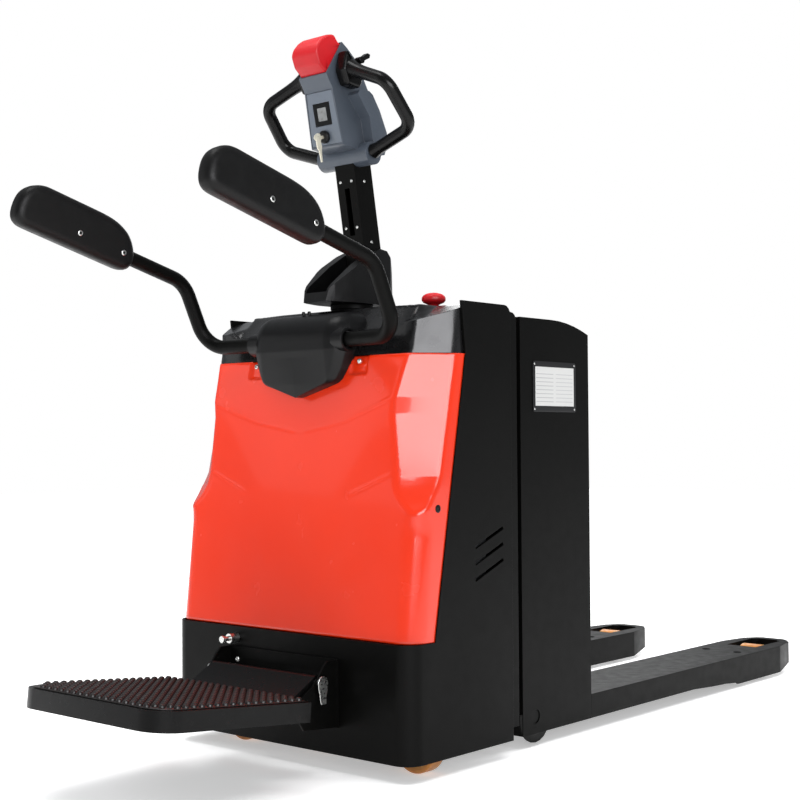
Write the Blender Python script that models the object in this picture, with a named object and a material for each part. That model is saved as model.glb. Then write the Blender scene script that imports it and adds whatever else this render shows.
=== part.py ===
"""Rider electric pallet truck, built from its separate pieces.

Metres, +Z up. +X points to the fork tips, +Y to the left of an operator who faces the forks.
The floor is Z = 0 and the origin is below the centre of the truck's overall length and width.
Inside the script each place is counted from the fork heel: X = 0 is the back face of the
battery box, where the load stops. The empty "truck" shifts all of it to the origin.
"""
import math

import bmesh
import bpy
from mathutils import Matrix, Vector

# --- driving dimensions -------------------------------------------------------------------
FORK_LENGTH = 1.150            # heel to tip
FORK_WIDTH = 0.185
FORK_SPREAD = 0.685            # across both forks, which is also the battery box's width
FORK_TOP = 0.087               # lowered height of the fork's top face
FORK_BOTTOM = 0.029
FORK_TIP_BOTTOM = 0.010        # the side walls hang lower beside the load roller
FORK_WALL = 0.008
LIFT = 0.120

BOX_DEPTH = 0.280              # battery box, heel to front
BOX_TOP = 0.985
BOX_DROP = 0.028               # fall of the lid's curved back edge
BOX_WALL = 0.006
BOX_FLOOR = 0.095

BODY_WIDTH = 0.736
BODY_BACK = -0.350
BODY_LENGTH = 0.354
BODY_TOP = 1.004
GROUND_GAP = 0.036
SKIRT_TOP = 0.283
SKIRT_CORNER = 0.043
STEEL = 0.006                  # plate of the chassis
COVER_TOP = 0.890              # seam between the front cover and the top cover
COVER_WALL = 0.003
COVER_STEP = 0.008             # the cover stands back from the skirt's face
COVER_LEAN = 0.066             # how far the cover leans back over its height
TOP_COVER_TOP = 1.003

WHEEL_R = 0.110                # drive wheel
WHEEL_WIDTH = 0.070
STEER_X = -0.475
CASTOR_R = 0.055
CASTOR_WIDTH = 0.045
CASTOR_TRAIL = 0.034
CASTOR_X = -0.592
CASTOR_Y = 0.265
ROLLER_R = 0.042
ROLLER_WIDTH = 0.070
ROLLER_ARM = 0.220
ROLLER_X = 1.020
ROLLER_PIVOT_Z = 0.052
LINK_X = -0.231                # lift link's shaft under the battery box
LINK_Z = 0.0685
LINK_R = 0.016
LEVER_Y = 0.215                # centre plane to each lever of the lift link
LEVER_WIDTH = 0.020
CRANK = 0.020                  # short cranks that move the pull bars
CYLINDER_X = -0.316

TILT_X = -0.4225               # tiller pivot
TILT_Z = 1.082
TILLER_LEAN = math.radians(10.0)
TILLER_LENGTH = 0.300
TILLER_TUBE = 0.060

ARM_AXIS_X = -0.645            # pivot of the side guard arms
ARM_AXIS_Z = 0.925
ARM_SPREAD = 0.300             # centre plane to each arm
ARM_TUBE_R = 0.0165
PAD_LENGTH = 0.320
PAD_HEIGHT = 0.104
PAD_THICKNESS = 0.046

HINGE_X = -0.762               # platform hinge
HINGE_Z = 0.197
DECK_LENGTH = 0.473            # hinge to free edge
DECK_WIDTH = 0.450
DECK_RIM = 0.040
DECK_DROP = 0.030              # hinge axis down to the standing surface
DECK_TILT = math.radians(5.5)
PIN_R = 0.008

BULKHEAD_SET = 0.0015          # the bulkhead stands just inside the side plates' back edges
DECK_PLATE_Z = 0.262           # plate that carries the drive unit
CASTOR_PLATE_Z = 0.150         # plates that carry the castors
RING_R = 0.1145                # outside of the slewing ring

STOP_X = -0.440                # emergency stop
STOP_Y = -0.220
STOP_STEM_R = 0.008

HOUSING_BACK = -0.580          # arm housing, from its back to its front
HOUSING_FRONT = -0.676
ARM_RISE_X = -0.0855           # from the pivot to the upper bend
ARM_RISE_Z = 0.1513
PAD_SLOPE = math.radians(15.2)
PAD_ROLL = math.radians(5.3)    # the pads' tops lean towards each other
PAD_START = 0.160              # upper bend to the pad's near end, along the arm

POST_R = 0.050                 # steering post
GEAR_TOP = 0.255               # underside of the ring above the gearbox
POD_BASE = 1.020               # steering head: its foot, half width and cheek
POD_HALF = 0.060
CHEEK = 0.027

HEAD_HALF = 0.077               # half width across the head's ears
BODY_HALF = 0.044              # half width of its middle
FACE_LOW = Vector((-0.079, 0.318))       # the face that carries the fascia
FACE_HIGH = Vector((-0.0855, 0.448))
GRIP_LOW = (-0.010, 0.292)               # where the lower ends of the hand loops enter
BUTTON_TRAVEL = 0.006
SEAT_LOW = Vector((-0.099, 0.4795))      # slanted seat of the reversing button, (x, z) in the tiller's frame
SEAT_HIGH = Vector((-0.034, 0.551))
SEAT_RIM = 0.003

EAR_Y = 0.164                  # platform bracket: centre plane to each ear
EAR = 0.006                    # plate of the ears
BARREL_R = 0.015               # platform hinge barrel
GAP = 0.0003                   # between pieces that touch
RUNNING = 0.0006               # radial clearance of a pin in its hole
CLEAR = 0.0015                 # between a moving piece and what it passes

# --- sizes that follow ---------------------------------------------------------------------
BODY_FRONT = BODY_BACK - BODY_LENGTH
HALF_BODY = BODY_WIDTH / 2
HALF_BOX = FORK_SPREAD / 2
FORK_Y = HALF_BOX - FORK_WIDTH / 2
SIDES = (("left", 1), ("right", -1))
DECK_REACH = HINGE_X - DECK_LENGTH * math.cos(DECK_TILT) - (DECK_DROP + DECK_RIM) * math.sin(DECK_TILT)
CENTRE_X = (FORK_LENGTH + DECK_REACH) / 2


# --- modelling helpers ---------------------------------------------------------------------
def clear_scene():
    for thing in list(bpy.data.objects):
        bpy.data.objects.remove(thing, do_unlink=True)


def finish(name, colour, roughness, metallic=0.0):
    """A Principled material; pieces of the same finish share it."""
    found = bpy.data.materials.get(name)
    if found:
        return found
    made = bpy.data.materials.new(name)
    made.use_nodes = True
    shader = made.node_tree.nodes["Principled BSDF"]
    shader.inputs["Base Color"].default_value = (*colour, 1.0)
    shader.inputs["Roughness"].default_value = roughness
    shader.inputs["Metallic"].default_value = metallic
    return made


def empty(name, location=(0, 0, 0), turn=(0, 0, 0), parent=None):
    made = bpy.data.objects.new(name, None)
    made.location = location
    made.rotation_euler = turn
    made.parent = parent
    bpy.context.scene.collection.objects.link(made)
    return made


def piece(name, mesh, material, parent, location=(0, 0, 0), turn=(0, 0, 0), smooth=None):
    made = bpy.data.objects.new(name, mesh)
    made.location = location
    made.rotation_euler = turn
    made.parent = parent
    mesh.materials.clear()
    mesh.materials.append(material)
    if smooth:
        mesh.shade_smooth()
        mesh.set_sharp_from_angle(angle=math.radians(smooth))
    bpy.context.scene.collection.objects.link(made)
    return made


def mesh_from(bm, name):
    bmesh.ops.remove_doubles(bm, verts=bm.verts, dist=1e-6)
    bmesh.ops.recalc_face_normals(bm, faces=bm.faces)
    mesh = bpy.data.meshes.new(name)
    bm.to_mesh(mesh)
    bm.free()
    return mesh


def prism(outline, low, high, along="Z"):
    """A flat outline extruded from low to high. The outline is (x, y) along Z, (x, z) along Y, (y, z) along X."""
    spots = {
        "Z": lambda a, b: (a, b, low),
        "Y": lambda a, b: (a, low, b),
        "X": lambda a, b: (low, a, b),
    }[along]
    step = {"Z": (0, 0, high - low), "Y": (0, high - low, 0), "X": (high - low, 0, 0)}[along]
    bm = bmesh.new()
    face = bm.faces.new([bm.verts.new(spots(a, b)) for a, b in outline])
    grown = bmesh.ops.extrude_face_region(bm, geom=[face])
    moved = [part for part in grown["geom"] if isinstance(part, bmesh.types.BMVert)]
    bmesh.ops.translate(bm, vec=step, verts=moved)
    return mesh_from(bm, "prism")


def block(low, high):
    return prism(
        [(low[0], low[1]), (high[0], low[1]), (high[0], high[1]), (low[0], high[1])], low[2], high[2]
    )


def turned(profile, axis="Z", steps=24, ring=False):
    """A profile of (radius, height) points spun once round an axis; a ring's profile is a closed loop."""
    bm = bmesh.new()
    verts = [bm.verts.new((r, 0, h)) for r, h in profile]
    edges = [bm.edges.new(pair) for pair in zip(verts, verts[1:])]
    if ring:
        edges.append(bm.edges.new((verts[-1], verts[0])))
    bmesh.ops.spin(
        bm, geom=verts + edges, cent=(0, 0, 0), axis=(0, 0, 1), angle=math.tau, steps=steps, use_merge=True
    )
    turns = {
        "Z": Matrix(),
        "Y": Matrix.Rotation(-math.pi / 2, 4, "X"),
        "X": Matrix.Rotation(math.pi / 2, 4, "Y"),
    }
    bmesh.ops.transform(bm, matrix=turns[axis], verts=bm.verts)
    return mesh_from(bm, "turned")


def rod(radius, low, high, axis="Z", steps=24):
    return turned([(0, low), (radius, low), (radius, high), (0, high)], axis, steps)


def sleeve(outer, inner, low, high, axis="Z", steps=24):
    return turned([(inner, low), (outer, low), (outer, high), (inner, high)], axis, steps, ring=True)


def loft(sections):
    """A closed solid through equal rings of points, with a flat face over each end."""
    bm = bmesh.new()
    rings = [[bm.verts.new(spot) for spot in section] for section in sections]
    for below, above in zip(rings, rings[1:]):
        for i in range(len(below)):
            j = (i + 1) % len(below)
            bm.faces.new((below[i], below[j], above[j], above[i]))
    bm.faces.new(list(reversed(rings[0])))
    bm.faces.new(rings[-1])
    return mesh_from(bm, "loft")


def arc(centre, radius, start, end, steps):
    """Points on an arc, angles in degrees."""
    angles = [math.radians(start + (end - start) * i / steps) for i in range(steps + 1)]
    return [(centre[0] + radius * math.cos(a), centre[1] + radius * math.sin(a)) for a in angles]


def rounded_path(corners, radii, steps=5):
    """A 3-D polyline whose inner corners are replaced by arcs of the given radii."""
    spots = [Vector(corners[0])]
    for before, corner, after, radius in zip(corners, corners[1:], corners[2:], radii):
        corner = Vector(corner)
        back = (Vector(before) - corner).normalized()
        ahead = (Vector(after) - corner).normalized()
        half = back.angle(ahead) / 2
        middle = corner + (back + ahead).normalized() * (radius / math.sin(half))
        reach = radius / math.tan(half)
        first = corner + back * reach - middle
        last = corner + ahead * reach - middle
        spots += [middle + first.slerp(last, i / steps) * radius for i in range(steps + 1)]
    spots.append(Vector(corners[-1]))
    return spots


def tube(spots, radius, resolution=2):
    """A round bar along a path, as a closed mesh."""
    data = bpy.data.curves.new("tube", "CURVE")
    data.dimensions = "3D"
    data.bevel_depth = radius
    data.bevel_resolution = resolution
    data.use_fill_caps = True
    spline = data.splines.new("POLY")
    spline.points.add(len(spots) - 1)
    for point, spot in zip(spline.points, spots):
        point.co = (*spot, 1.0)
    guide = bpy.data.objects.new("tube", data)
    bm = bmesh.new()
    bm.from_mesh(guide.to_mesh())
    guide.to_mesh_clear()
    bpy.data.objects.remove(guide)
    return mesh_from(bm, "tube")


def shape_with(target, mesh, operation, location=(0, 0, 0), turn=(0, 0, 0)):
    """Adds a Boolean modifier to the target; the helper object is left out of the build."""
    helper = bpy.data.objects.new(target.name + "." + operation.lower(), mesh)
    helper.location = location
    helper.rotation_euler = turn
    helper.parent = target
    helper.hide_render = True
    helper.display_type = "WIRE"
    bpy.context.scene.collection.objects.link(helper)
    boolean = target.modifiers.new(operation.lower(), "BOOLEAN")
    boolean.operation = operation
    boolean.solver = "EXACT"
    boolean.object = helper


def cut(target, mesh, **place):
    shape_with(target, mesh, "DIFFERENCE", **place)


def add(target, mesh, **place):
    shape_with(target, mesh, "UNION", **place)


def keep(target, mesh, **place):
    shape_with(target, mesh, "INTERSECT", **place)


def soften(target, width, segments=2, angle=35):
    bevel = target.modifiers.new("soft edges", "BEVEL")
    bevel.width = width
    bevel.segments = segments
    bevel.limit_method = "ANGLE"
    bevel.angle_limit = math.radians(angle)


# --- finishes --------------------------------------------------------------------------------
def finishes():
    return {
        "black_steel": finish("black_steel", (0.018, 0.018, 0.017), 0.42),
        "black_plastic": finish("black_plastic", (0.012, 0.012, 0.013), 0.35),
        "red_plastic": finish("red_plastic", (0.80, 0.055, 0.020), 0.25),
        "button_red": finish("button_red", (0.72, 0.010, 0.018), 0.30),
        "slate_plastic": finish("slate_plastic", (0.070, 0.085, 0.110), 0.40),
        "rubber": finish("rubber", (0.020, 0.016, 0.016), 0.60),
        "amber_tyre": finish("amber_tyre", (0.42, 0.17, 0.030), 0.35),
        "zinc": finish("zinc", (0.62, 0.62, 0.60), 0.30, 1.0),
        "cast_iron": finish("cast_iron", (0.10, 0.10, 0.10), 0.55, 0.6),
        "screen": finish("screen", (0.010, 0.012, 0.014), 0.10),
        "label": finish("label", (0.75, 0.75, 0.75), 0.35),
        "key_metal": finish("key_metal", (0.72, 0.68, 0.55), 0.30, 0.8),
        "battery_case": finish("battery_case", (0.045, 0.050, 0.055), 0.50),
    }


# --- chassis ----------------------------------------------------------------------------------
def seam_x(height):
    """Front edge of the steel side plate, which leans back up to the top cover."""
    low = BODY_FRONT + 0.084
    high = BODY_FRONT + 0.192
    return low + (high - low) * (height - SKIRT_TOP) / (COVER_TOP - SKIRT_TOP)


def skirt_outline():
    """U-shaped wall of the chassis, seen from above."""
    outer = HALF_BODY
    inner = HALF_BODY - STEEL
    centre_x = BODY_FRONT + SKIRT_CORNER
    centre_y = outer - SKIRT_CORNER
    path = [(BODY_BACK, -outer)]
    path += arc((centre_x, -centre_y), SKIRT_CORNER, 270, 180, 9)
    path += arc((centre_x, centre_y), SKIRT_CORNER, 180, 90, 9)
    path += [(BODY_BACK, outer), (BODY_BACK, inner)]
    path += arc((centre_x, centre_y), SKIRT_CORNER - STEEL, 90, 180, 9)
    path += arc((centre_x, -centre_y), SKIRT_CORNER - STEEL, 180, 270, 9)
    path += [(BODY_BACK, -inner)]
    return path


def chassis(truck, looks):
    """Welded plate frame: wrap-round skirt, tall side plates, deck, castor plates and bulkhead."""
    frame = piece(
        "chassis_frame", prism(skirt_outline(), GROUND_GAP, BODY_TOP), looks["black_steel"], truck
    )
    far = 0.5
    above = [
        (BODY_FRONT - 0.1, SKIRT_TOP), (seam_x(SKIRT_TOP), SKIRT_TOP), (seam_x(COVER_TOP), COVER_TOP),
        (seam_x(COVER_TOP) - 0.014, BODY_TOP + 0.01), (BODY_FRONT - 0.1, BODY_TOP + 0.01),
    ]
    cut(frame, prism(above, -far, far, "Y"))
    corner = [(BODY_BACK - 0.022, BODY_TOP + 0.01), (BODY_BACK - 0.022, BODY_TOP + 0.0)]
    corner += arc((BODY_BACK - 0.022, BODY_TOP - 0.022), 0.022, 90, 0, 4)[1:]
    corner += [(BODY_BACK + 0.01, BODY_TOP - 0.022), (BODY_BACK + 0.01, BODY_TOP + 0.01)]
    cut(frame, prism(corner, -far, far, "Y"))
    louvre_length = 0.106
    louvre_height = 0.007
    for row in range(3):
        spot = (BODY_BACK - 0.083, 0, 0.4205 + 0.035 * row)
        slot = block(
            (-louvre_length / 2, -far, -louvre_height / 2), (louvre_length / 2, far, louvre_height / 2)
        )
        cut(frame, slot, location=spot, turn=(0, -math.radians(21), 0))
    root = STEEL / 2
    wall = HALF_BODY - root
    deck = prism(
        [(BODY_FRONT + root, -wall + 0.04), (BODY_FRONT + root + 0.04, -wall), (BODY_BACK - 0.004, -wall),
         (BODY_BACK - 0.004, wall), (BODY_FRONT + root + 0.04, wall), (BODY_FRONT + root, wall - 0.04)],
        DECK_PLATE_Z, DECK_PLATE_Z + STEEL,
    )
    add(frame, deck)
    cut(
        frame, rod(RING_R - 0.014, DECK_PLATE_Z - 0.01, DECK_PLATE_Z + 0.02, steps=32),
        location=(STEER_X, 0, 0),
    )
    for name, side in SIDES:
        inner_y = side * (CASTOR_Y - 0.075)
        corner_y = side * (wall - 0.04)
        outer_y = side * wall
        front = BODY_FRONT + root
        back = CASTOR_X + 0.075
        outline = [
            (front, inner_y), (front, corner_y), (front + 0.04, outer_y), (back, outer_y), (back, inner_y)
        ]
        plate = prism(outline, CASTOR_PLATE_Z, CASTOR_PLATE_Z + STEEL)
        add(frame, plate)
        lug_y = sorted(
            (side * (LEVER_Y + LEVER_WIDTH / 2 + 0.0005), side * (LEVER_Y + LEVER_WIDTH / 2 + 0.0085))
        )
        lug_x = LINK_X - ROLLER_ARM
        add(frame, block((lug_x - 0.020, lug_y[0], 0.042), (lug_x + 0.060, lug_y[1], DECK_PLATE_Z + 0.002)))
    back = BODY_BACK - BULKHEAD_SET
    add(frame, block((back - STEEL, -wall, DECK_PLATE_Z + 0.001), (back, wall, BODY_TOP - 0.030)))
    return frame


def rear_frame(truck, looks):
    """Guide channel bolted behind the chassis: a web with two flanges that the battery box rises along."""
    web_front = BODY_BACK - BULKHEAD_SET + GAP
    flange_back = -BOX_DEPTH - 0.012
    half = HALF_BOX - 0.001
    plate = 0.008
    top = BODY_TOP - 0.010
    channel = [
        (web_front, -half), (flange_back, -half), (flange_back, -half + plate), (
            web_front + plate, -half + plate
        ),
        (web_front + plate, half - plate), (flange_back, half - plate), (flange_back, half), (
            web_front, half
        ),
    ]
    made = piece("rear_frame", prism(channel, GROUND_GAP + 0.02, top), looks["black_steel"], truck)
    round_r = 0.020
    corner = [(flange_back + 0.01, top + 0.01), (flange_back - round_r, top + 0.01)]
    corner += arc((flange_back - round_r, top - round_r), round_r, 90, 0, 4)
    corner += [(flange_back + 0.01, top - round_r)]
    cut(made, prism(corner, -0.5, 0.5, "Y"))
    for y in (-LEVER_Y, LEVER_Y):
        cut(made, block((web_front - 0.01, y - 0.018, 0.04), (web_front + 0.02, y + 0.018, 0.150)))
    return made


# --- covers ------------------------------------------------------------------------------------
def cover_front_x(height):
    rise = (height - SKIRT_TOP) / (COVER_TOP - SKIRT_TOP)
    return BODY_FRONT + COVER_STEP + COVER_LEAN * rise


def cover_half(height, front, half_width, inset):
    """Left half of a cover's plan outline at one height, from the middle to the side.

    Low down the corner is round. Above the knee a flat shoulder facet cuts it off, wider towards the top.
    """
    knee_low = 0.540
    knee_high = 0.625
    share = min(max((height - knee_low) / (knee_high - knee_low), 0), 1)
    share = share * share * (3 - 2 * share)
    rise = min(max((height - knee_high) / (COVER_TOP - knee_high), 0), 1)
    round_y = half_width - SKIRT_CORNER
    facet_y = half_width - 0.075 + 0.008 * rise
    facet_x = front + 0.056 + 0.030 * rise
    start_y = round_y + (facet_y - round_y) * share
    end_x = front + SKIRT_CORNER + (facet_x - front - SKIRT_CORNER) * share
    spots = [(front + inset, 0.0), (front + inset, start_y / 2)]
    steps = 5
    for i in range(steps + 1):
        t = math.radians(90 * i / steps)
        straight = i / steps
        along_x = (1 - math.cos(t)) * (1 - share) + straight * share
        along_y = math.sin(t) * (1 - share) + straight * share
        x = front + (end_x - front) * along_x
        y = start_y + (half_width - start_y) * along_y
        lean = math.radians(90 * straight)
        spots.append((x + inset * math.cos(lean), y - inset * math.sin(lean)))
    return spots


def cover_section(height, front, back, half_width, inset=0.0):
    half = cover_half(height, front, half_width, inset) + [(back, half_width - inset)]
    mirrored = [(x, -y) for x, y in reversed(half[1:])]
    return [(x, y, height) for x, y in half + mirrored]


def housing_outline(margin=0.0):
    """Front view of the arm housing: a barrel on top of a shield that narrows to a point."""
    half = 0.150 + margin
    return [
        (0, 0.800 - margin), (0.108 + margin * 0.6, 0.832 - margin), (0.130 + margin, 0.862 - margin * 0.5),
        (half, 0.925), (half - 0.004, 0.965), (half - 0.022, 0.990 + margin),
        (-half + 0.022, 0.990 + margin), (-half + 0.004, 0.965), (-half, 0.925),
        (-0.130 - margin, 0.862 - margin * 0.5), (-0.108 - margin * 0.6, 0.832 - margin),
    ]


def front_cover(truck, looks):
    """Moulded front panel over the drive unit, with a flat facet on each shoulder."""
    levels = (SKIRT_TOP + GAP, 0.400, 0.540, 0.557, 0.575, 0.600, 0.625, 0.740, COVER_TOP - GAP)
    half = HALF_BODY - 0.002
    outer = [cover_section(z, cover_front_x(z), seam_x(z) - 0.001, half) for z in levels]
    made = piece("front_cover", loft(outer), looks["red_plastic"], truck, smooth=28)
    levels = (SKIRT_TOP - 0.02,) + levels[1:-1] + (COVER_TOP + 0.02,)
    inner = [cover_section(z, cover_front_x(z), seam_x(z) + 0.03, half, COVER_WALL) for z in levels]
    cut(made, loft(inner))
    cut(made, prism(housing_outline(CLEAR), BODY_FRONT - 0.05, STEER_X, "X"))
    return made


def top_cover(truck, looks):
    """Moulded lid over the drive unit, with a low ledge all round its front."""
    back = BODY_BACK - 0.0090
    half = HALF_BODY - STEEL - 0.0005
    front = cover_front_x(COVER_TOP) + 0.003
    rows = ((COVER_TOP + GAP, 0.0), (0.946, 0.008), (0.952, 0.024), (0.984, 0.032), (TOP_COVER_TOP, 0.050))
    outer = [cover_section(z, front + step, back, half) for z, step in rows]
    made = piece("top_cover", loft(outer), looks["black_plastic"], truck, smooth=28)
    rows = ((COVER_TOP - 0.02, 0.0),) + rows[1:-1] + ((TOP_COVER_TOP - COVER_WALL, 0.046),)
    inner = [cover_section(z, front + step, back - COVER_WALL, half, COVER_WALL) for z, step in rows]
    cut(made, loft(inner))
    cut(made, prism(housing_outline(CLEAR), BODY_FRONT - 0.05, ARM_AXIS_X + 0.070, "X"))
    cut(made, rod(POST_R + 0.004, 0.95, 1.05, steps=24), location=(STEER_X, 0, 0))
    cut(made, rod(STOP_STEM_R + RUNNING, 0.95, 1.05, steps=16), location=(STOP_X, STOP_Y, 0))
    return made


def cross_beam(truck, looks):
    """Beam across the side plates that carries the arm housing."""
    front = HOUSING_BACK + GAP
    middle_back = front + 0.030
    end_y = HALF_BODY - STEEL - GAP
    end_back = seam_x(COVER_TOP) + 0.030
    plan = [
        (front, -0.230), (front, 0.230), (end_back - 0.040, end_y), (end_back, end_y),
        (middle_back, 0.215), (middle_back, -0.215), (end_back, -end_y), (end_back - 0.040, -end_y),
    ]
    return piece("cross_beam", prism(plan, 0.838, 0.886), looks["black_steel"], truck)


def arm_housing(truck, looks):
    """Pivot housing of the two side arms, standing out of the front cover."""
    made = piece(
        "arm_housing", prism(housing_outline(), HOUSING_FRONT, HOUSING_BACK, "X"), looks["black_plastic"], truck, smooth=25
    )
    barrel = [(HOUSING_FRONT + 0.022, 0.79), (HOUSING_FRONT + 0.002, 0.890)]
    barrel += arc((HOUSING_FRONT + 0.065, ARM_AXIS_Z), 0.066, 190, 95, 6)
    barrel += [(HOUSING_BACK + 0.01, 0.992), (HOUSING_BACK + 0.01, 0.79)]
    keep(made, prism(barrel, -0.2, 0.2, "Y"))
    plan = [
        (HOUSING_BACK + 0.01, -0.2), (HOUSING_BACK + 0.01, 0.2), (HOUSING_BACK - 0.010, 0.152),
        (HOUSING_FRONT + 0.020, 0.136), (HOUSING_FRONT - 0.002, 0.104), (HOUSING_FRONT - 0.002, -0.104),
        (HOUSING_FRONT + 0.020, -0.136), (HOUSING_BACK - 0.010, -0.152),
    ]
    keep(made, prism(plan, 0.7, 1.1))
    bore = rod(ARM_TUBE_R + 0.001, -0.2, 0.2, "Y", 20)
    cut(made, bore, location=(ARM_AXIS_X, 0, ARM_AXIS_Z))
    return made


# --- side guard arms -----------------------------------------------------------------------------


def arm_direction():
    return Vector((-math.cos(PAD_SLOPE), 0, math.sin(PAD_SLOPE)))


def pad_outline():
    """Side view of the paddle pad, (along, across), from its near end at the tube."""
    low = -0.037
    high = low + PAD_HEIGHT
    end = PAD_LENGTH
    return (
        [(0.0, -0.006), (0.008, -0.026)]
        + arc((0.026, low + 0.016), 0.016, 215, 270, 2)
        + arc((end - 0.024, low + 0.024), 0.024, 270, 350, 4)
        + arc((end - 0.052, high - 0.045), 0.045, 20, 90, 5)
        + [
            (0.110, high), (0.075, high - 0.002), (0.045, high - 0.009), (0.024, high - 0.025),
            (0.010, high - 0.045),
        ]
    )


def side_arm(name, side, truck, looks):
    """Bent tube that turns in the housing, with a moulded pad on its free end."""
    pivot = empty("arm_" + name, (ARM_AXIS_X, 0, ARM_AXIS_Z), parent=truck)
    spread = side * ARM_SPREAD
    bend = Vector((ARM_RISE_X, spread, ARM_RISE_Z))
    pad_base = bend + arm_direction() * PAD_START
    end = pad_base + arm_direction() * 0.215
    corners = [(0, side * 0.010, 0), (0, side * 0.165, 0), (-0.015, spread, 0), bend, end]
    path = rounded_path(corners, (0.100, 0.060, 0.075))
    piece("arm_tube_" + name, tube(path, ARM_TUBE_R, 2), looks["black_steel"], pivot, smooth=40)
    half = PAD_THICKNESS / 2
    outline = [(-a, b) for a, b in reversed(pad_outline())]
    pad = piece(
        "arm_pad_" + name, prism(outline, -half, half, "Y"), looks["black_plastic"], pivot,
        location=pad_base, turn=(side * PAD_ROLL, PAD_SLOPE, 0), smooth=40,
    )
    soften(pad, 0.018, 3)
    depth = (end - pad_base).length + 0.002
    cut(pad, rod(ARM_TUBE_R + 0.001, -depth, 0.05, "X", 20))
    return pivot


# --- steering, drive and tiller ---------------------------------------------------------------------


def slewing_ring(truck, looks):
    """Bearing ring that sits on the deck plate's edge and lets the drive unit turn."""
    high = DECK_PLATE_Z + STEEL + GAP
    bore = RING_R - 0.024
    profile = [(bore, high), (RING_R, high), (RING_R, high + 0.014), (bore, high + 0.014)]
    return piece(
        "slewing_ring", turned(profile, steps=32, ring=True), looks["cast_iron"], truck, (STEER_X, 0, 0),
        smooth=40,
    )


def drive_unit(steering, looks):
    """Gearbox leg beside the wheel, motor above it and post up to the tiller."""
    ring_top = DECK_PLATE_Z + STEEL + GAP + 0.014
    half = WHEEL_WIDTH / 2
    leg_in = half + 0.006
    gearbox = piece(
        "gearbox", rod(RING_R - 0.026, GEAR_TOP - 0.022, ring_top + 0.009, steps=28), looks["cast_iron"],
        steering, smooth=40,
    )
    leg = [(-0.050, GEAR_TOP - 0.005), (-0.050, WHEEL_R)]
    leg += arc((0, WHEEL_R), 0.050, 180, 360, 8)[1:]
    leg += [(0.050, GEAR_TOP - 0.005)]
    add(gearbox, prism(leg, leg_in, leg_in + 0.036, "Y"))
    add(gearbox, rod(0.014, -half - 0.012, leg_in + 0.004, "Y", 16), location=(0, 0, WHEEL_R))
    flange_low = ring_top + GAP
    add(gearbox, rod(RING_R - 0.003, flange_low, flange_low + 0.0095, steps=32))
    motor_low = flange_low + 0.0098 + GAP
    profile = [
        (0, motor_low), (0.080, motor_low), (0.080, motor_low + 0.200), (0.074, motor_low + 0.212),
        (0.074, motor_low + 0.250), (0, motor_low + 0.250),
    ]
    piece("drive_motor", turned(profile, steps=28), looks["cast_iron"], steering, smooth=40)
    post_low = motor_low + 0.250 + GAP
    piece(
        "steering_post", rod(POST_R, post_low, POD_BASE - GAP, steps=24), looks["black_steel"], steering,
        smooth=40,
    )


def drive_wheel(steering, looks):
    """Cast hub with a bonded tyre; the wheel touches the floor."""
    axle = empty("drive_wheel_axle", (0, 0, WHEEL_R), parent=steering)
    half = WHEEL_WIDTH / 2
    tread = 0.022
    hub = [
        (0.014 + RUNNING, -half + 0.004), (0.045, -half + 0.004), (0.050, -half + 0.014),
        (0.072, -half + 0.014),
    ]
    hub += [(0.076, -half + 0.006), (WHEEL_R - tread - GAP, -half + 0.006)]
    hub += [(r, -h) for r, h in reversed(hub)]
    piece("drive_hub", turned(hub, "Y", 32, ring=True), looks["cast_iron"], axle, smooth=40)
    tyre = [(WHEEL_R - tread, -half), (WHEEL_R - 0.006, -half), (WHEEL_R, -half + 0.006)]
    tyre += [(r, -h) for r, h in reversed(tyre)]
    piece("drive_tyre", turned(tyre, "Y", 32, ring=True), looks["amber_tyre"], axle, smooth=40)


def steering_head(steering, looks):
    """Cast pod on the post: two cheeks that carry the tiller's pivot."""
    base_x = TILT_X - STEER_X
    side = [
        (-0.125, POD_BASE), (-0.118, 1.048), (-0.106, 1.060), (-0.040, 1.110), (0.010, 1.140),
        (0.035, 1.151), (0.058, 1.148), (0.074, 1.130), (0.082, 1.100), (0.088, POD_BASE),
    ]
    made = piece("steering_head", prism(side, -0.1, 0.1, "Y"), looks["black_plastic"], steering, smooth=30)
    plan = [
        (-0.130, -0.032), (-0.105, -0.046), (-0.055, -POD_HALF), (0.070, -POD_HALF), (0.092, -0.048),
        (0.092, 0.048), (0.070, POD_HALF), (-0.055, POD_HALF), (-0.105, 0.046), (-0.130, 0.032),
    ]
    keep(made, prism(plan, 0.9, 1.3))
    slot = POD_HALF - CHEEK
    cut(made, block((-0.2, -slot, 1.042), (0.2, slot, 1.3)))
    cut(made, rod(PIN_R + RUNNING, -0.1, 0.1, "Y", 16), location=(base_x, 0, TILT_Z))


def tiller(steering, looks):
    """Tiller arm with the control head; the frame's Z runs along the arm, +X points to the forks."""
    pivot = empty("tiller", (TILT_X - STEER_X, 0, TILT_Z), (0, -TILLER_LEAN, 0), steering)
    piece(
        "tiller_pin", rod(PIN_R, -POD_HALF + 0.002, POD_HALF - 0.002, "Y", 16), looks["zinc"], pivot,
        smooth=40,
    )
    half = TILLER_TUBE / 2
    wall = 0.005
    arm = piece(
        "tiller_arm", block((-half, -half, -0.022), (half, half, TILLER_LENGTH)), looks["black_steel"], pivot
    )
    cut(arm, block((-half + wall, -half + wall, -0.03), (half - wall, half - wall, TILLER_LENGTH - 0.01)))
    cut(arm, rod(PIN_R + RUNNING, -0.1, 0.1, "Y", 16))
    cut(arm, block((-half - 0.01, -0.008, 0.110), (-half + wall + 0.002, 0.008, 0.220)))
    return pivot


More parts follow.
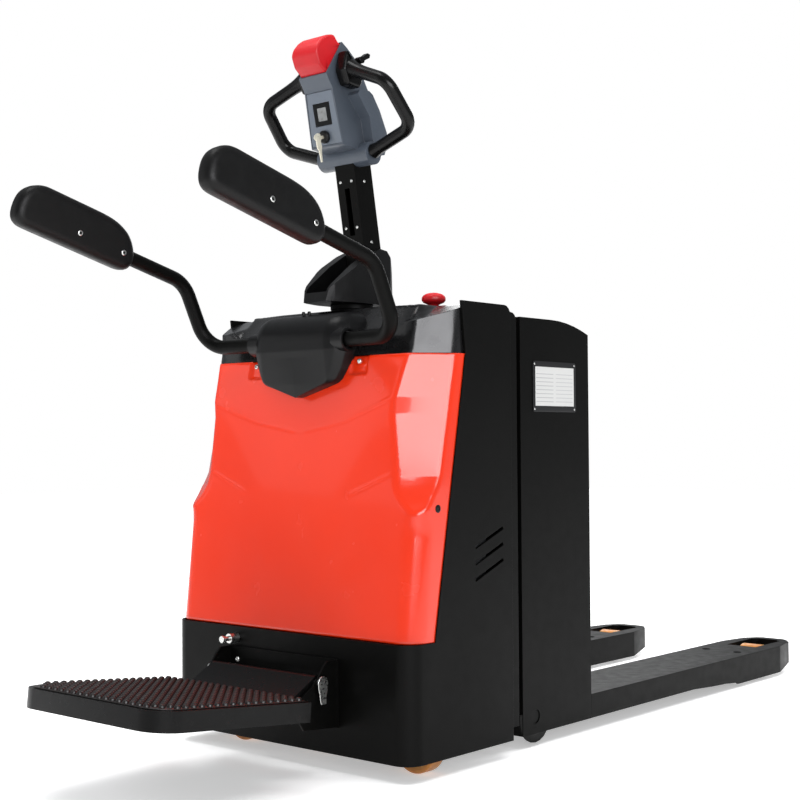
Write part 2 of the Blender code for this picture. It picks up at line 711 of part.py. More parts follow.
def control_head(pivot, looks):
    """Shell of the control head, with recesses for the display, the key switch and the button."""
    side = [
        tuple(FACE_LOW), tuple(FACE_HIGH), (-0.0945, 0.468), tuple(SEAT_LOW), tuple(SEAT_HIGH),
        (-0.018, 0.537), (0.013, 0.504), (0.036, 0.440), (0.045, 0.350), (0.032, 0.290), (-0.020, 0.302),
    ]
    head = piece("head_shell", prism(side, -0.06, 0.06, "Y"), looks["slate_plastic"], pivot, smooth=30)
    front_view = [
        (-0.052, 0.27), (0.052, 0.27), (BODY_HALF, 0.455), (BODY_HALF, 0.60), (-BODY_HALF, 0.60),
        (-BODY_HALF, 0.455),
    ]
    keep(head, prism(front_view, -0.2, 0.1, "X"))
    ear = [
        (-0.037, 0.428), (-0.006, 0.374), (-0.004, 0.310), (0.000, 0.285), (0.030, 0.286),
        (0.044, 0.310), (0.0476, 0.337), (0.032, 0.388), (0.014, 0.425), (0.003, 0.434), (-0.030, 0.436),
    ]
    add(head, prism(ear, -HEAD_HALF, HEAD_HALF, "Y"))
    add(
        head, rod(0.027, -HEAD_HALF - 0.001, HEAD_HALF + 0.001, "Y", 20),
        location=(GRIP_LOW[0], 0, GRIP_LOW[1]),
    )
    socket = TILLER_TUBE / 2 + 0.0005
    cut(head, block((-socket, -socket, 0.2), (socket, socket, TILLER_LENGTH + 0.0005)))
    reversing_seat(pivot, head, looks)
    fascia(pivot, head, looks)


def reversing_seat(pivot, head, looks):
    """Red cushion button in a pocket on the slanted seat. +X of the seat points out of the head."""
    run = SEAT_HIGH - SEAT_LOW
    turn = (0, math.atan2(run.x, run.y) + math.pi, 0)
    middle = (SEAT_LOW + SEAT_HIGH) / 2
    place = (middle.x, 0, middle.y)
    half_z = run.length / 2 - SEAT_RIM
    half_y = BODY_HALF - SEAT_RIM
    depth = 0.014
    cut(head, block((-depth, -half_y, -half_z), (0.05, half_y, half_z)), location=place, turn=turn)
    seat = empty("button_seat", place, turn, pivot)
    half_y -= RUNNING
    half_z -= RUNNING
    base = GAP + BUTTON_TRAVEL - depth
    outline = [
        (base, -half_z), (BUTTON_TRAVEL + 0.003, -half_z), (0.023, -0.050), (0.042, -0.0315), (
            0.050, -0.012
        ),
        (0.053, 0.010), (0.048, 0.027), (0.0264, 0.0425), (0.003, half_z), (base, half_z),
    ]
    button = piece(
        "reversing_button", prism(outline, -half_y, half_y, "Y"), looks["button_red"], seat, smooth=30
    )
    soften(button, 0.004)


def fascia(pivot, head, looks):
    """Tapered face plate with the display and the key switch; its frame has Z up the face and +X inwards."""
    rise = FACE_HIGH - FACE_LOW
    turn = (0, math.atan2(rise.x, rise.y), 0)
    place = Vector((FACE_LOW.x, 0, FACE_LOW.y))
    tall = rise.length
    depth = 0.004
    recess = [(-0.0475, 0.004), (0.0475, 0.004), (0.0400, tall - 0.004), (-0.0400, tall - 0.004)]
    cut(head, prism(recess, -0.01, depth, "X"), location=place, turn=turn)
    plate = [(-0.0470, 0.0045), (0.0470, 0.0045), (0.0395, tall - 0.0045), (-0.0395, tall - 0.0045)]
    panel = piece(
        "head_fascia", prism(plate, GAP, depth - GAP, "X"), looks["slate_plastic"], pivot, place, turn
    )
    screen_half = 0.0255
    screen_low = 0.049
    window = screen_half + RUNNING
    cut(
        panel,
        block((-0.01, -window, screen_low - RUNNING), (0.01, window, screen_low + 2 * screen_half + RUNNING)),
    )
    glass = block(
        (0.0005, -screen_half, screen_low), (depth - GAP, screen_half, screen_low + 2 * screen_half)
    )
    piece("display", glass, looks["screen"], pivot, place, turn)
    key_z = 0.023
    lock_r = 0.011
    bore = rod(lock_r + RUNNING, -0.03, 0.024, "X", 20)
    lock_at = place + Matrix.Rotation(turn[1], 3, "Y") @ Vector((0, 0, key_z))
    cut(head, bore, location=lock_at, turn=turn)
    cut(panel, bore.copy(), location=(0, 0, key_z))
    profile = [
        (0, 0.022), (lock_r, 0.022), (lock_r, -0.001), (0.015, -0.001), (0.015, -0.008), (lock_r, -0.011),
        (0, -0.011),
    ]
    lock = piece(
        "key_switch", turned(profile, "X", 20), looks["black_plastic"], pivot, lock_at, turn, smooth=40
    )
    cut(lock, rod(0.0041, -0.02, 0.010, "X", 16))
    axis = empty("key_axis", lock_at, turn, pivot)
    blade = [(0.008, -0.0036), (0.008, 0.0036), (-0.016, 0.0036), (-0.019, 0.009), (-0.027, 0.010)]
    blade += [
        (-0.036, 0.006), (-0.040, 0.0), (-0.036, -0.006), (-0.027, -0.010), (-0.019, -0.009),
        (-0.016, -0.0036),
    ]
    key = piece("key", prism(blade, -0.0009, 0.0009, "Y"), looks["key_metal"], axis)
    spare = [(-0.031, 0.002), (-0.034, -0.010), (-0.033, -0.024), (-0.029, -0.030), (-0.028, -0.056)]
    spare += [(-0.024, -0.056), (-0.021, -0.030), (-0.018, -0.022), (-0.020, -0.008), (-0.023, 0.002)]
    add(key, prism(spare, -0.0014, 0.0014, "Y"))


def handle_loops(pivot, looks):
    """Closed hand grip on each side: a boot against the head, and a loop from it down to the head's lower end."""
    for name, side in SIDES:
        corners = [
            (-0.040, side * 0.050, 0.492), (-0.068, side * 0.193, 0.438),
            (-0.008, side * 0.201, 0.335), (GRIP_LOW[0], side * 0.060, GRIP_LOW[1]),
        ]
        path = rounded_path(corners, (0.034, 0.034))
        loop = piece("handle_" + name, tube(path, 0.0150, 2), looks["black_plastic"], pivot, smooth=40)
        boot = [
            (-0.072, 0.484), (-0.062, 0.450), (-0.025, 0.441), (-0.008, 0.468), (-0.022, 0.497),
            (-0.053, 0.527),
        ]
        near = BODY_HALF + 0.0009
        span = sorted((side * near, side * HEAD_HALF))
        add(loop, prism(boot, span[0], span[1], "Y"))
        far = 0.02 * side
        span = sorted((far, side * near))
        cut(loop, block((-0.2, span[0], 0.40), (0.1, span[1], 0.60)))
        span = sorted((far, side * (HEAD_HALF + 0.001 + GAP)))
        cut(loop, block((-0.2, span[0], 0.20), (0.1, span[1], 0.36)))


def thumb_levers(pivot, looks):
    """Butterfly throttle levers, one on the outside of each boot, on a shared cross axis."""
    for name, side in SIDES:
        span = sorted((side * (HEAD_HALF + GAP), side * (HEAD_HALF + 0.018)))
        turn = empty("thumb_axis_" + name, (-0.028, 0, 0.501), parent=pivot)
        lever = piece(
            "thumb_lever_" + name, rod(0.008, span[0], span[1], "Y", 16), looks["black_plastic"], turn,
            smooth=40,
        )
        wing = [(-0.004, 0.0), (-0.006, 0.028), (0.000, 0.034), (0.006, 0.028), (0.004, 0.0)]
        add(lever, prism(wing, span[0] + 0.002, span[1] - 0.002, "Y"), turn=(0, math.radians(68), 0))


def emergency_stop(truck, looks):
    """Red mushroom button on its switch body, which hangs under the top cover."""
    under = TOP_COVER_TOP - COVER_WALL - GAP
    body = piece(
        "stop_switch", rod(0.018, under - 0.045, under, steps=20), looks["black_plastic"], truck,
        (STOP_X, STOP_Y, 0), smooth=40,
    )
    bore = STOP_STEM_R + RUNNING
    cut(body, rod(bore, under - 0.036, under + 0.01, steps=16))
    low = under - 0.028
    cap_low = TOP_COVER_TOP + 0.008
    profile = [
        (0, low), (STOP_STEM_R, low), (STOP_STEM_R, cap_low), (0.022, cap_low + 0.002), (
            0.0275, cap_low + 0.009
        ),
        (0.027, cap_low + 0.016), (0.018, cap_low + 0.024), (0, cap_low + 0.026),
    ]
    piece(
        "stop_button", turned(profile, steps=24), looks["button_red"], truck, (STOP_X, STOP_Y, 0),
        smooth=40,
    )


# --- castors ------------------------------------------------------------------------------------------
def castor(name, side, truck, looks):
    """Swivel castor: the fork turns about its top plate, the wheel on its axle trails to one side."""
    swivel = empty("castor_" + name, (CASTOR_X, side * CASTOR_Y, 0), (0, 0, -math.pi / 2), truck)
    top = CASTOR_PLATE_Z - GAP
    half = CASTOR_WIDTH / 2
    crown = piece("castor_fork_" + name, rod(0.034, 0.130, top, steps=20), looks["zinc"], swivel, smooth=40)
    add(crown, block((-0.030, -half - 0.007, 0.118), (CASTOR_TRAIL + 0.018, half + 0.007, 0.132)))
    cheek = [(-0.030, 0.125), (CASTOR_TRAIL - 0.014, CASTOR_R - 0.006)]
    cheek += arc((CASTOR_TRAIL, CASTOR_R), 0.015, 205, 335, 4)
    cheek += [(CASTOR_TRAIL + 0.018, 0.125)]
    for end in (-1, 1):
        span = sorted((end * (half + 0.002), end * (half + 0.0068)))
        add(crown, prism(cheek, span[0], span[1], "Y"))
    add(crown, rod(0.006, -half - 0.004, half + 0.004, "Y", 12), location=(CASTOR_TRAIL, 0, CASTOR_R))
    axle = empty("castor_axle_" + name, (CASTOR_TRAIL, 0, CASTOR_R), parent=swivel)
    wheel = [
        (0.006 + RUNNING, -half + 0.001), (0.018, -half + 0.001), (0.020, -half + 0.006),
        (0.034, -half + 0.006),
    ]
    wheel += [(0.037, -half), (CASTOR_R - 0.006, -half), (CASTOR_R, -half + 0.006)]
    wheel += [(r, -h) for r, h in reversed(wheel)]
    piece("castor_wheel_" + name, turned(wheel, "Y", 28, ring=True), looks["amber_tyre"], axle, smooth=40)


# --- folding platform ------------------------------------------------------------------------------------


def platform_bracket(truck, looks):
    """Hinge bracket on the skirt: a back plate with two curved ears."""
    back = BODY_FRONT - GAP
    made = piece(
        "platform_bracket", block((back - STEEL, -EAR_Y - EAR, 0.095), (back, EAR_Y + EAR, 0.240)),
        looks["black_steel"], truck,
    )
    ear = [
        (back - 0.002, 0.239), (back - 0.034, 0.239), (back - 0.046, 0.228), (back - 0.062, 0.206),
        (back - 0.080, 0.190),
    ]
    ear += [
        (back - 0.104, 0.176), (back - 0.118, 0.160), (back - 0.120, 0.128), (back - 0.104, 0.104),
        (back - 0.002, 0.096),
    ]
    for name, side in SIDES:
        span = sorted((side * EAR_Y, side * (EAR_Y + EAR - 0.0005)))
        add(made, prism(ear, span[0], span[1], "Y"))
    cut(made, rod(PIN_R + RUNNING, -0.3, 0.3, "Y", 16), location=(HINGE_X, 0, HINGE_Z))
    head = 0.010
    low = -EAR_Y - EAR - head
    profile = [
        (0, low), (0.013, low), (0.013, -EAR_Y - EAR - GAP), (PIN_R, -EAR_Y - EAR - GAP),
        (PIN_R, EAR_Y + EAR + 0.006), (0, EAR_Y + EAR + 0.006),
    ]
    pin = piece(
        "platform_pin", turned(profile, "Y", 16), looks["zinc"], truck, (HINGE_X, 0, HINGE_Z), smooth=40
    )
    keeper = arc((0, 0), 0.013, 200, -10, 7) + arc((0.009, -0.044), 0.007, -10, -190, 5)
    add(pin, prism(keeper, low + 0.001, low + 0.005, "Y"))


def platform(truck, looks):
    """Standing platform: a pressed tray with a neck up to the hinge barrel, and a rubber mat on top."""
    hinge = empty("platform", (HINGE_X, 0, HINGE_Z), (0, DECK_TILT, 0), truck)
    half = DECK_WIDTH / 2
    top = -DECK_DROP
    corner = 0.060
    heel = -0.078
    outline = [(heel, -half), (heel, half)]
    outline += arc((-DECK_LENGTH + corner, half - corner), corner, 90, 180, 6)
    outline += arc((-DECK_LENGTH + corner, -half + corner), corner, 180, 270, 6)
    deck = piece(
        "platform_deck", prism(outline, top - DECK_RIM, top), looks["black_steel"], hinge, smooth=30
    )
    rim = 0.006
    inner = [(heel - rim, -half + rim), (heel - rim, half - rim)]
    inner += arc((-DECK_LENGTH + corner, half - corner), corner - rim, 90, 180, 6)
    inner += arc((-DECK_LENGTH + corner, -half + corner), corner - rim, 180, 270, 6)
    cut(deck, prism(inner, top - DECK_RIM - 0.01, top - 0.005))
    neck_half = EAR_Y - 0.003
    neck = [
        (heel - 0.030, top - 0.006), (heel - 0.030, top - 0.0008), (heel + 0.010, top + 0.0),
        (-0.010, 0.010),
    ]
    neck += [
        (0.0, 0.010), (0.0, -0.004), (heel + 0.012, top - 0.012), (heel + 0.002, top - 0.020),
        (heel - 0.004, top - 0.020),
    ]
    add(deck, prism(neck, -neck_half, neck_half, "Y"))
    add(deck, rod(BARREL_R, -neck_half, neck_half, "Y", 16))
    cut(deck, rod(PIN_R + RUNNING, -0.3, 0.3, "Y", 16))
    mat_edge = 0.010
    mat = [(heel - 0.004, -half + mat_edge), (heel - 0.004, half - mat_edge)]
    mat += arc((-DECK_LENGTH + corner, half - corner), corner - mat_edge, 90, 180, 6)
    mat += arc((-DECK_LENGTH + corner, -half + corner), corner - mat_edge, 180, 270, 6)
    piece("platform_mat", prism(mat, top + GAP, top + 0.004), looks["rubber"], hinge, smooth=30)


def platform_latch(truck, looks):
    """Spring plunger on the skirt that holds the folded platform; the pin slides in its body."""
    spot = (BODY_FRONT - GAP, 0.150, 0.258)
    body = piece("latch_body", rod(0.011, -0.024, 0, "X", 16), looks["zinc"], truck, spot, smooth=40)
    cut(body, rod(0.0055 + RUNNING, -0.05, -0.006, "X", 16))
    profile = [
        (0, -0.012), (0.0055, -0.012), (0.0055, -0.040), (0.0080, -0.040), (0.0080, -0.046), (0, -0.046)
    ]
    piece("latch_pin", turned(profile, "X", 16), looks["zinc"], truck, spot, smooth=40)


# --- battery box and forks ----------------------------------------------------------------------------------
def lid_height(x):
    """The lid is flat from the front to the middle of the box, then falls in an arc to the back."""
    flat_to = -BOX_DEPTH * 0.55
    share = max(0.0, (x - flat_to) / -flat_to)
    return BOX_TOP - BOX_DROP * share * share


def lid_line(low_x, high_x, drop):
    steps = [-BOX_DEPTH * share for share in (0.55, 0.44, 0.33, 0.22, 0.11)]
    xs = [low_x] + [x for x in steps if low_x < x < high_x] + [high_x]
    return [(x, lid_height(x) - drop) for x in xs]


def battery_box(carriage, looks):
    """Steel box that rises with the forks: four walls, a floor and a lid, and an ear for the lift link."""
    front = -BOX_DEPTH
    side = [(front, FORK_BOTTOM), (0, FORK_BOTTOM)] + list(reversed(lid_line(front, 0, 0)))
    box = piece(
        "battery_box", prism(side, -HALF_BOX, HALF_BOX, "Y"), looks["black_steel"], carriage, smooth=20
    )
    inside = HALF_BOX - BOX_WALL
    room = block((front + BOX_WALL, -inside, BOX_FLOOR + BOX_WALL), (-BOX_WALL, inside, BOX_TOP + 0.05))
    cut(box, room)
    below = block((front + BOX_WALL, -inside, FORK_BOTTOM - 0.05), (-BOX_WALL, inside, BOX_FLOOR))
    cut(box, below)
    for name, y in SIDES:
        span = sorted((y * (HALF_BOX - BOX_WALL + 0.001), y * (HALF_BOX - 0.001)))
        ear = arc((LINK_X, LINK_Z), 0.060, 170, 370, 12)
        add(box, prism(ear, span[0], span[1], "Y"))
        window = sorted(
            (y * (FORK_Y - FORK_WIDTH / 2 + FORK_WALL + 0.002), y * (FORK_Y + FORK_WIDTH / 2 - FORK_WALL - 0.002))
        )
        cut(box, block((-0.02, window[0], FORK_BOTTOM - 0.01), (0.02, window[1], FORK_TOP - FORK_WALL)))
        lever = y * LEVER_Y
        cut(
            box,
            block((front - 0.01, lever - 0.015, FORK_BOTTOM - 0.01), (front + 0.02, lever + 0.015, BOX_FLOOR - 0.002)),
        )
        cut(
            box, rod(LINK_R + RUNNING, span[0] - 0.01, span[1] + 0.01, "Y", 20),
            location=(LINK_X, 0, LINK_Z),
        )
    lid = lid_line(front + BOX_WALL + 0.001, -BOX_WALL - 0.001, 0.0005)
    lid += list(reversed(lid_line(front + BOX_WALL + 0.001, -BOX_WALL - 0.001, 0.006)))
    piece(
        "battery_lid", prism(lid, -inside + GAP, inside - GAP, "Y"), looks["black_steel"], carriage,
        smooth=20,
    )
    low = BOX_FLOOR + BOX_WALL + GAP
    battery = piece(
        "battery", block((front + 0.020, -inside + 0.020, low), (-0.020, inside - 0.020, low + 0.600)),
        looks["battery_case"], carriage,
    )
    soften(battery, 0.006, 1)
    bracket = piece(
        "lift_bracket", block((CYLINDER_X - 0.014, -0.040, 0.880), (front - GAP, 0.040, 0.905)),
        looks["black_steel"], carriage,
    )
    plate = 0.0015
    label = piece(
        "data_plate", block((-0.232, -HALF_BOX - GAP - plate, 0.768), (-0.057, -HALF_BOX - GAP, 0.886)),
        looks["label"], carriage,
    )


def fork(name, side, carriage, looks):
    """Inverted channel with a round nose, a window over the roller and lower walls beside it."""
    centre = side * FORK_Y
    half = FORK_WIDTH / 2
    tip = FORK_LENGTH
    nose = 0.140
    nose_half = 0.052
    deep_from = 0.745
    plan = [
        (GAP, -half), (tip - nose, -half), (tip - 0.045, -half + 0.018), (tip - 0.010, -nose_half + 0.002),
        (tip, -nose_half + 0.018),
    ]
    plan += [(x, -y) for x, y in reversed(plan)]
    made = piece(
        "fork_" + name, prism(plan, FORK_TIP_BOTTOM, FORK_TOP), looks["black_steel"], carriage,
        (0, centre, 0),
    )
    under = [
        (-0.1, 0), (deep_from + 0.014, 0), (deep_from, 0.014), (0.680, 0.020), (0.600, 0.023),
        (0.500, FORK_BOTTOM), (-0.1, FORK_BOTTOM),
    ]
    cut(made, prism(under, -0.2, 0.2, "Y"))
    nose_under = [(tip - 0.150, 0), (tip - 0.140, FORK_TIP_BOTTOM), (tip + 0.01, 0.034), (tip + 0.01, 0)]
    cut(made, prism(nose_under, -0.2, 0.2, "Y"))
    inner = half - FORK_WALL
    hollow = [
        (0.020, -inner), (tip - nose - 0.004, -inner), (tip - 0.050, -inner + 0.020),
        (tip - 0.030, -inner + 0.045),
    ]
    hollow += [(x, -y) for x, y in reversed(hollow)]
    cut(made, prism(hollow, -0.01, FORK_TOP - FORK_WALL))
    cut(made, block((0.010 - 0.02, -inner, -0.01), (0.030, inner, FORK_TOP - FORK_WALL)))
    window = [
        (0.945, -0.046), (1.100, -0.046), (1.118, -0.030), (1.118, 0.030), (1.100, 0.046), (0.945, 0.046)
    ]
    cut(made, prism(window, 0.04, 0.12))
    for hole in (-0.050, 0.050):
        cut(made, rod(0.012, 0.05, 0.12, steps=16), location=(0.825, hole, 0))
    pin_x = ROLLER_X - ROLLER_ARM
    add(made, rod(PIN_R, -inner - 0.004, inner + 0.004, "Y", 16), location=(pin_x, 0, ROLLER_PIVOT_Z))


def roller_arm(name, side, carriage, looks):
    """Load roller in its swinging arm: as the forks rise the arm swings down and keeps the roller on the floor."""
    pivot = empty(
        "roller_arm_" + name + "_axis", (ROLLER_X - ROLLER_ARM, side * FORK_Y, ROLLER_PIVOT_Z),
        parent=carriage,
    )
    drop = ROLLER_PIVOT_Z - ROLLER_R
    reach = math.sqrt(ROLLER_ARM ** 2 - drop ** 2)
    half = ROLLER_WIDTH / 2
    hub = piece(
        "roller_arm_" + name, sleeve(0.015, PIN_R + RUNNING, -0.040, 0.040, "Y", 16), looks["black_steel"],
        pivot, smooth=40,
    )
    arm = [(0.0095, -0.009), (ROLLER_ARM - 0.004, -drop - 0.012), (ROLLER_ARM + 0.010, -drop - 0.006)]
    arm += [(ROLLER_ARM + 0.010, -drop + 0.007), (ROLLER_ARM - 0.004, -drop + 0.012), (0.0095, 0.009)]
    for end in (-1, 1):
        span = sorted((end * (half + 0.003), end * (half + 0.009)))
        add(hub, prism(arm, span[0], span[1], "Y"))
    crank = [(-0.006, -0.011), (-0.005, -CRANK - 0.006), (0.005, -CRANK - 0.006), (0.006, -0.011)]
    add(hub, prism(crank, 0.010, 0.016, "Y"))
    add(hub, rod(0.010, -half - 0.006, half + 0.006, "Y", 16), location=(ROLLER_ARM, 0, -drop))
    axle = empty("load_roller_" + name + "_axis", (ROLLER_ARM, 0, -drop), parent=pivot)
    tyre = [
        (0.010 + RUNNING, -half), (0.020, -half), (0.022, -half + 0.003), (ROLLER_R - 0.004, -half + 0.003),
        (ROLLER_R, -half + 0.007),
    ]
    tyre += [(r, -h) for r, h in reversed(tyre)]
    piece("load_roller_" + name, turned(tyre, "Y", 28, ring=True), looks["amber_tyre"], axle, smooth=40)


def lift_link(carriage, looks):
    """Torsion shaft under the battery box with two levers towards the chassis."""
    pivot = empty("lift_link_axis", (LINK_X, 0, LINK_Z), parent=carriage)
    link = piece(
        "lift_link", rod(LINK_R, -HALF_BOX + 0.002, HALF_BOX - 0.002, "Y", 20), looks["black_steel"], pivot,
        smooth=40,
    )
    drop = ROLLER_PIVOT_Z - ROLLER_R
    lever = [(0.0, 0.014), (-0.020, 0.018), (-ROLLER_ARM + 0.005, -drop + 0.013)]
    lever += arc((-ROLLER_ARM, -drop), 0.013, 90, 270, 5)
    lever += [(-0.020, -0.018), (0.0, -0.014)]
    crank = [(-0.007, 0.010), (-0.005, CRANK + 0.006), (0.005, CRANK + 0.006), (0.007, 0.010)]
    for name, side in SIDES:
        y = side * LEVER_Y
        add(link, prism(lever, y - LEVER_WIDTH / 2, y + LEVER_WIDTH / 2, "Y"))
        y = side * FORK_Y + 0.010
        add(link, prism(crank, y, y + 0.006, "Y"))
    return pivot


def lift_cylinder(truck, carriage, looks):
    """Hydraulic cylinder on the guide channel's web, with its ram up to the box's bracket."""
    low = 0.120
    high = 0.700
    barrel = piece(
        "lift_cylinder", rod(0.024, low, high, steps=20), looks["black_steel"], truck, (CYLINDER_X, 0, 0),
        smooth=40,
    )
    ram_r = 0.012
    cut(barrel, rod(ram_r + RUNNING, low + 0.04, high + 0.01, steps=16))
    piece(
        "lift_ram", rod(ram_r, low + 0.20, 0.880 - GAP, steps=16), looks["zinc"], carriage,
        (CYLINDER_X, 0, 0), smooth=40,
    )


def pull_bars(carriage, looks):
    """Flat bars inside the forks, from the lift link's upper cranks to the roller arms' lower ones."""
    start_x = LINK_X
    start_z = LINK_Z + CRANK
    end_x = ROLLER_X - ROLLER_ARM
    end_z = ROLLER_PIVOT_Z - CRANK
    half = 0.0035
    line = [
        (start_x - 0.007, start_z), (start_x + 0.030, start_z), (start_x + 0.090, 0.052),
        (end_x + 0.007, end_z),
    ]
    side_view = [(x, z - half) for x, z in line] + [(x, z + half) for x, z in reversed(line)]
    for name, side in SIDES:
        inner = side * FORK_Y + 0.010 - GAP
        piece("pull_bar_" + name, prism(side_view, inner - 0.010, inner, "Y"), looks["cast_iron"], carriage)


# --- power pieces inside the body -----------------------------------------------------------------------------
def power_pieces(truck, looks):
    """Motor controller and hydraulic power pack, standing on the deck plate."""
    floor = DECK_PLATE_Z + STEEL + GAP
    controller = piece(
        "motor_controller", block((-0.540, -0.335, floor), (-0.400, -0.205, floor + 0.220)),
        looks["battery_case"], truck,
    )
    soften(controller, 0.004, 1)
    pack = piece(
        "hydraulic_tank", block((-0.560, 0.200, floor), (-0.390, 0.330, floor + 0.150)),
        looks["battery_case"], truck,
    )
    soften(pack, 0.006, 1)
    top = floor + 0.150 + GAP
    piece(
        "pump_motor", rod(0.048, top, top + 0.130, steps=20), looks["cast_iron"], truck, (-0.475, 0.265, 0),
        smooth=40,
    )


def build():
    clear_scene()
    looks = finishes()
    truck = empty("truck", (-CENTRE_X, 0, 0))
    chassis(truck, looks)
    rear_frame(truck, looks)
    front_cover(truck, looks)
    top_cover(truck, looks)
    cross_beam(truck, looks)
    arm_housing(truck, looks)
    for name, side in SIDES:
        side_arm(name, side, truck, looks)
        castor(name, side, truck, looks)
    slewing_ring(truck, looks)
    steering = empty("steering", (STEER_X, 0, 0), parent=truck)
    drive_unit(steering, looks)
    drive_wheel(steering, looks)
    steering_head(steering, looks)
    pivot = tiller(steering, looks)
    control_head(pivot, looks)
    handle_loops(pivot, looks)
    thumb_levers(pivot, looks)
    emergency_stop(truck, looks)
    platform_bracket(truck, looks)
    platform(truck, looks)
    platform_latch(truck, looks)
    power_pieces(truck, looks)
    carriage = empty("carriage", parent=truck)
    battery_box(carriage, looks)
    for name, side in SIDES:
        fork(name, side, carriage, looks)
        roller_arm(name, side, carriage, looks)
    lift_link(carriage, looks)
    lift_cylinder(truck, carriage, looks)
    pull_bars(carriage, looks)


build()
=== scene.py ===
import math

import bmesh
import bpy
import numpy as np
from mathutils import Matrix, Vector


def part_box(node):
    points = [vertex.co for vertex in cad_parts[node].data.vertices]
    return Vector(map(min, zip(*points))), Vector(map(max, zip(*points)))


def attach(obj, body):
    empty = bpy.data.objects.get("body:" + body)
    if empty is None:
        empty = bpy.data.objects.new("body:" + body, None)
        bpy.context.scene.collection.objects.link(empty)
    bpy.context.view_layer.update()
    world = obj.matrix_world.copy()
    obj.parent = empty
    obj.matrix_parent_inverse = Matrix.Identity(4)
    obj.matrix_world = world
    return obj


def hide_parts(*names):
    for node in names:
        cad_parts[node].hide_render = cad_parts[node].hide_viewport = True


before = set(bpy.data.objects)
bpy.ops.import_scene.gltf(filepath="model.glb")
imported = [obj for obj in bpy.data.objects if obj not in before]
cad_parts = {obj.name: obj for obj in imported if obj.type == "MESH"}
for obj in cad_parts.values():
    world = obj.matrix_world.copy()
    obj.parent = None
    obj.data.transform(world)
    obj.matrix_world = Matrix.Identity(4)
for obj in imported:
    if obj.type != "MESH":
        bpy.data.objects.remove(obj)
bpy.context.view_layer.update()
# the back face of the battery box, where the forks begin: most places are counted from this heel
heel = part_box("battery_box")[1].x


# --- studio -------------------------------------------
# A white sweep under soft boxes. The floor is lit past white and glows with painted light, weaker near the
# truck, so that only a lightened shade below it shows; the room away from the boxes is dim, so black steel
# stays black.
def shader(name, colour, roughness, metallic=0.0, **sockets):
    """A Principled material, its constants on the shader's own sockets, with its nodes, links and shader."""
    made = bpy.data.materials.new(name)
    made.use_nodes = True
    nodes, links = made.node_tree.nodes, made.node_tree.links
    surface = nodes["Principled BSDF"]
    surface.inputs["Base Color"].default_value = (*colour, 1.0)
    surface.inputs["Roughness"].default_value = roughness
    surface.inputs["Metallic"].default_value = metallic
    for socket, value in sockets.items():
        surface.inputs[socket.replace("_", " ")].default_value = value
    return made, nodes, links, surface


def quads(rows, columns, close_rows=False, close_columns=False):
    """Corner numbers of each cell of a grid of points stored row after row."""
    r = np.arange(rows if close_rows else rows - 1)
    c = np.arange(columns if close_columns else columns - 1)
    r, c = np.meshgrid(r, c, indexing="ij")
    r2, c2 = (r + 1) % rows, (c + 1) % columns
    corners = np.stack([r * columns + c, r * columns + c2, r2 * columns + c2, r2 * columns + c], -1)
    return corners.reshape(-1, 4)


def surface_piece(name, points, faces, material, sharp=40, outward=True):
    """An object of these points and faces, smooth but for edges sharper than the angle given in degrees."""
    mesh = bpy.data.meshes.new(name)
    mesh.from_pydata(
        np.asarray(points, float).reshape(-1, 3).tolist(), [], [tuple(map(int, f)) for f in faces]
    )
    if outward:
        bm = bmesh.new()
        bm.from_mesh(mesh)
        bmesh.ops.remove_doubles(bm, verts=bm.verts, dist=1e-6)
        bmesh.ops.recalc_face_normals(bm, faces=bm.faces)
        bm.to_mesh(mesh)
        bm.free()
    mesh.materials.append(material)
    mesh.shade_smooth()
    mesh.set_sharp_from_angle(angle=math.radians(sharp))
    made = bpy.data.objects.new(name, mesh)
    bpy.context.scene.collection.objects.link(made)
    return made


studio_white, nodes, links, surface = shader("studio_white", (0.86, 0.86, 0.86), 0.9, Specular_IOR_Level=0.1)
surface.inputs["Emission Color"].default_value = (1.0, 1.0, 1.0, 1.0)
# painted light: the floor glows, its emission rising with distance from 0.42 near the truck to 1.0 far off,
# which lightens the shade under the truck
spot = nodes.new("ShaderNodeTexCoord")
distance = nodes.new("ShaderNodeVectorMath")
distance.operation = "LENGTH"
painted_floor_glow = nodes.new("ShaderNodeMapRange")
painted_floor_glow.interpolation_type = "SMOOTHSTEP"
painted_floor_glow.inputs["From Min"].default_value = 2.2
painted_floor_glow.inputs["From Max"].default_value = 5.5
painted_floor_glow.inputs["To Min"].default_value = 0.42
painted_floor_glow.inputs["To Max"].default_value = 1.0
links.new(spot.outputs["Object"], distance.inputs[0])
links.new(distance.outputs["Value"], painted_floor_glow.inputs["Value"])
links.new(painted_floor_glow.outputs["Result"], surface.inputs["Emission Strength"])
floor_lines = 25
along = np.linspace(-14.0, 14.0, floor_lines)
grid = np.stack([*np.meshgrid(along, along, indexing="ij"), np.zeros((floor_lines, floor_lines))], -1)
floor = surface_piece("studio_floor", grid, quads(floor_lines, floor_lines), studio_white, outward=False)

room = bpy.data.worlds.new("studio_room")
room.use_nodes = True
bpy.context.scene.world = room
tree = room.node_tree
tree.nodes["Background"].inputs["Color"].default_value = (0.93, 0.96, 1.0, 1.0)
tree.nodes["Background"].inputs["Strength"].default_value = 0.32
backdrop = tree.nodes.new("ShaderNodeBackground")
backdrop.inputs["Color"].default_value = (1.0, 1.0, 1.0, 1.0)
backdrop.inputs["Strength"].default_value = 1.0
seen = tree.nodes.new("ShaderNodeLightPath")
either = tree.nodes.new("ShaderNodeMixShader")
tree.links.new(seen.outputs["Is Camera Ray"], either.inputs["Fac"])
tree.links.new(tree.nodes["Background"].outputs["Background"], either.inputs[1])
tree.links.new(backdrop.outputs["Background"], either.inputs[2])
tree.links.new(either.outputs["Shader"], tree.nodes["World Output"].inputs["Surface"])


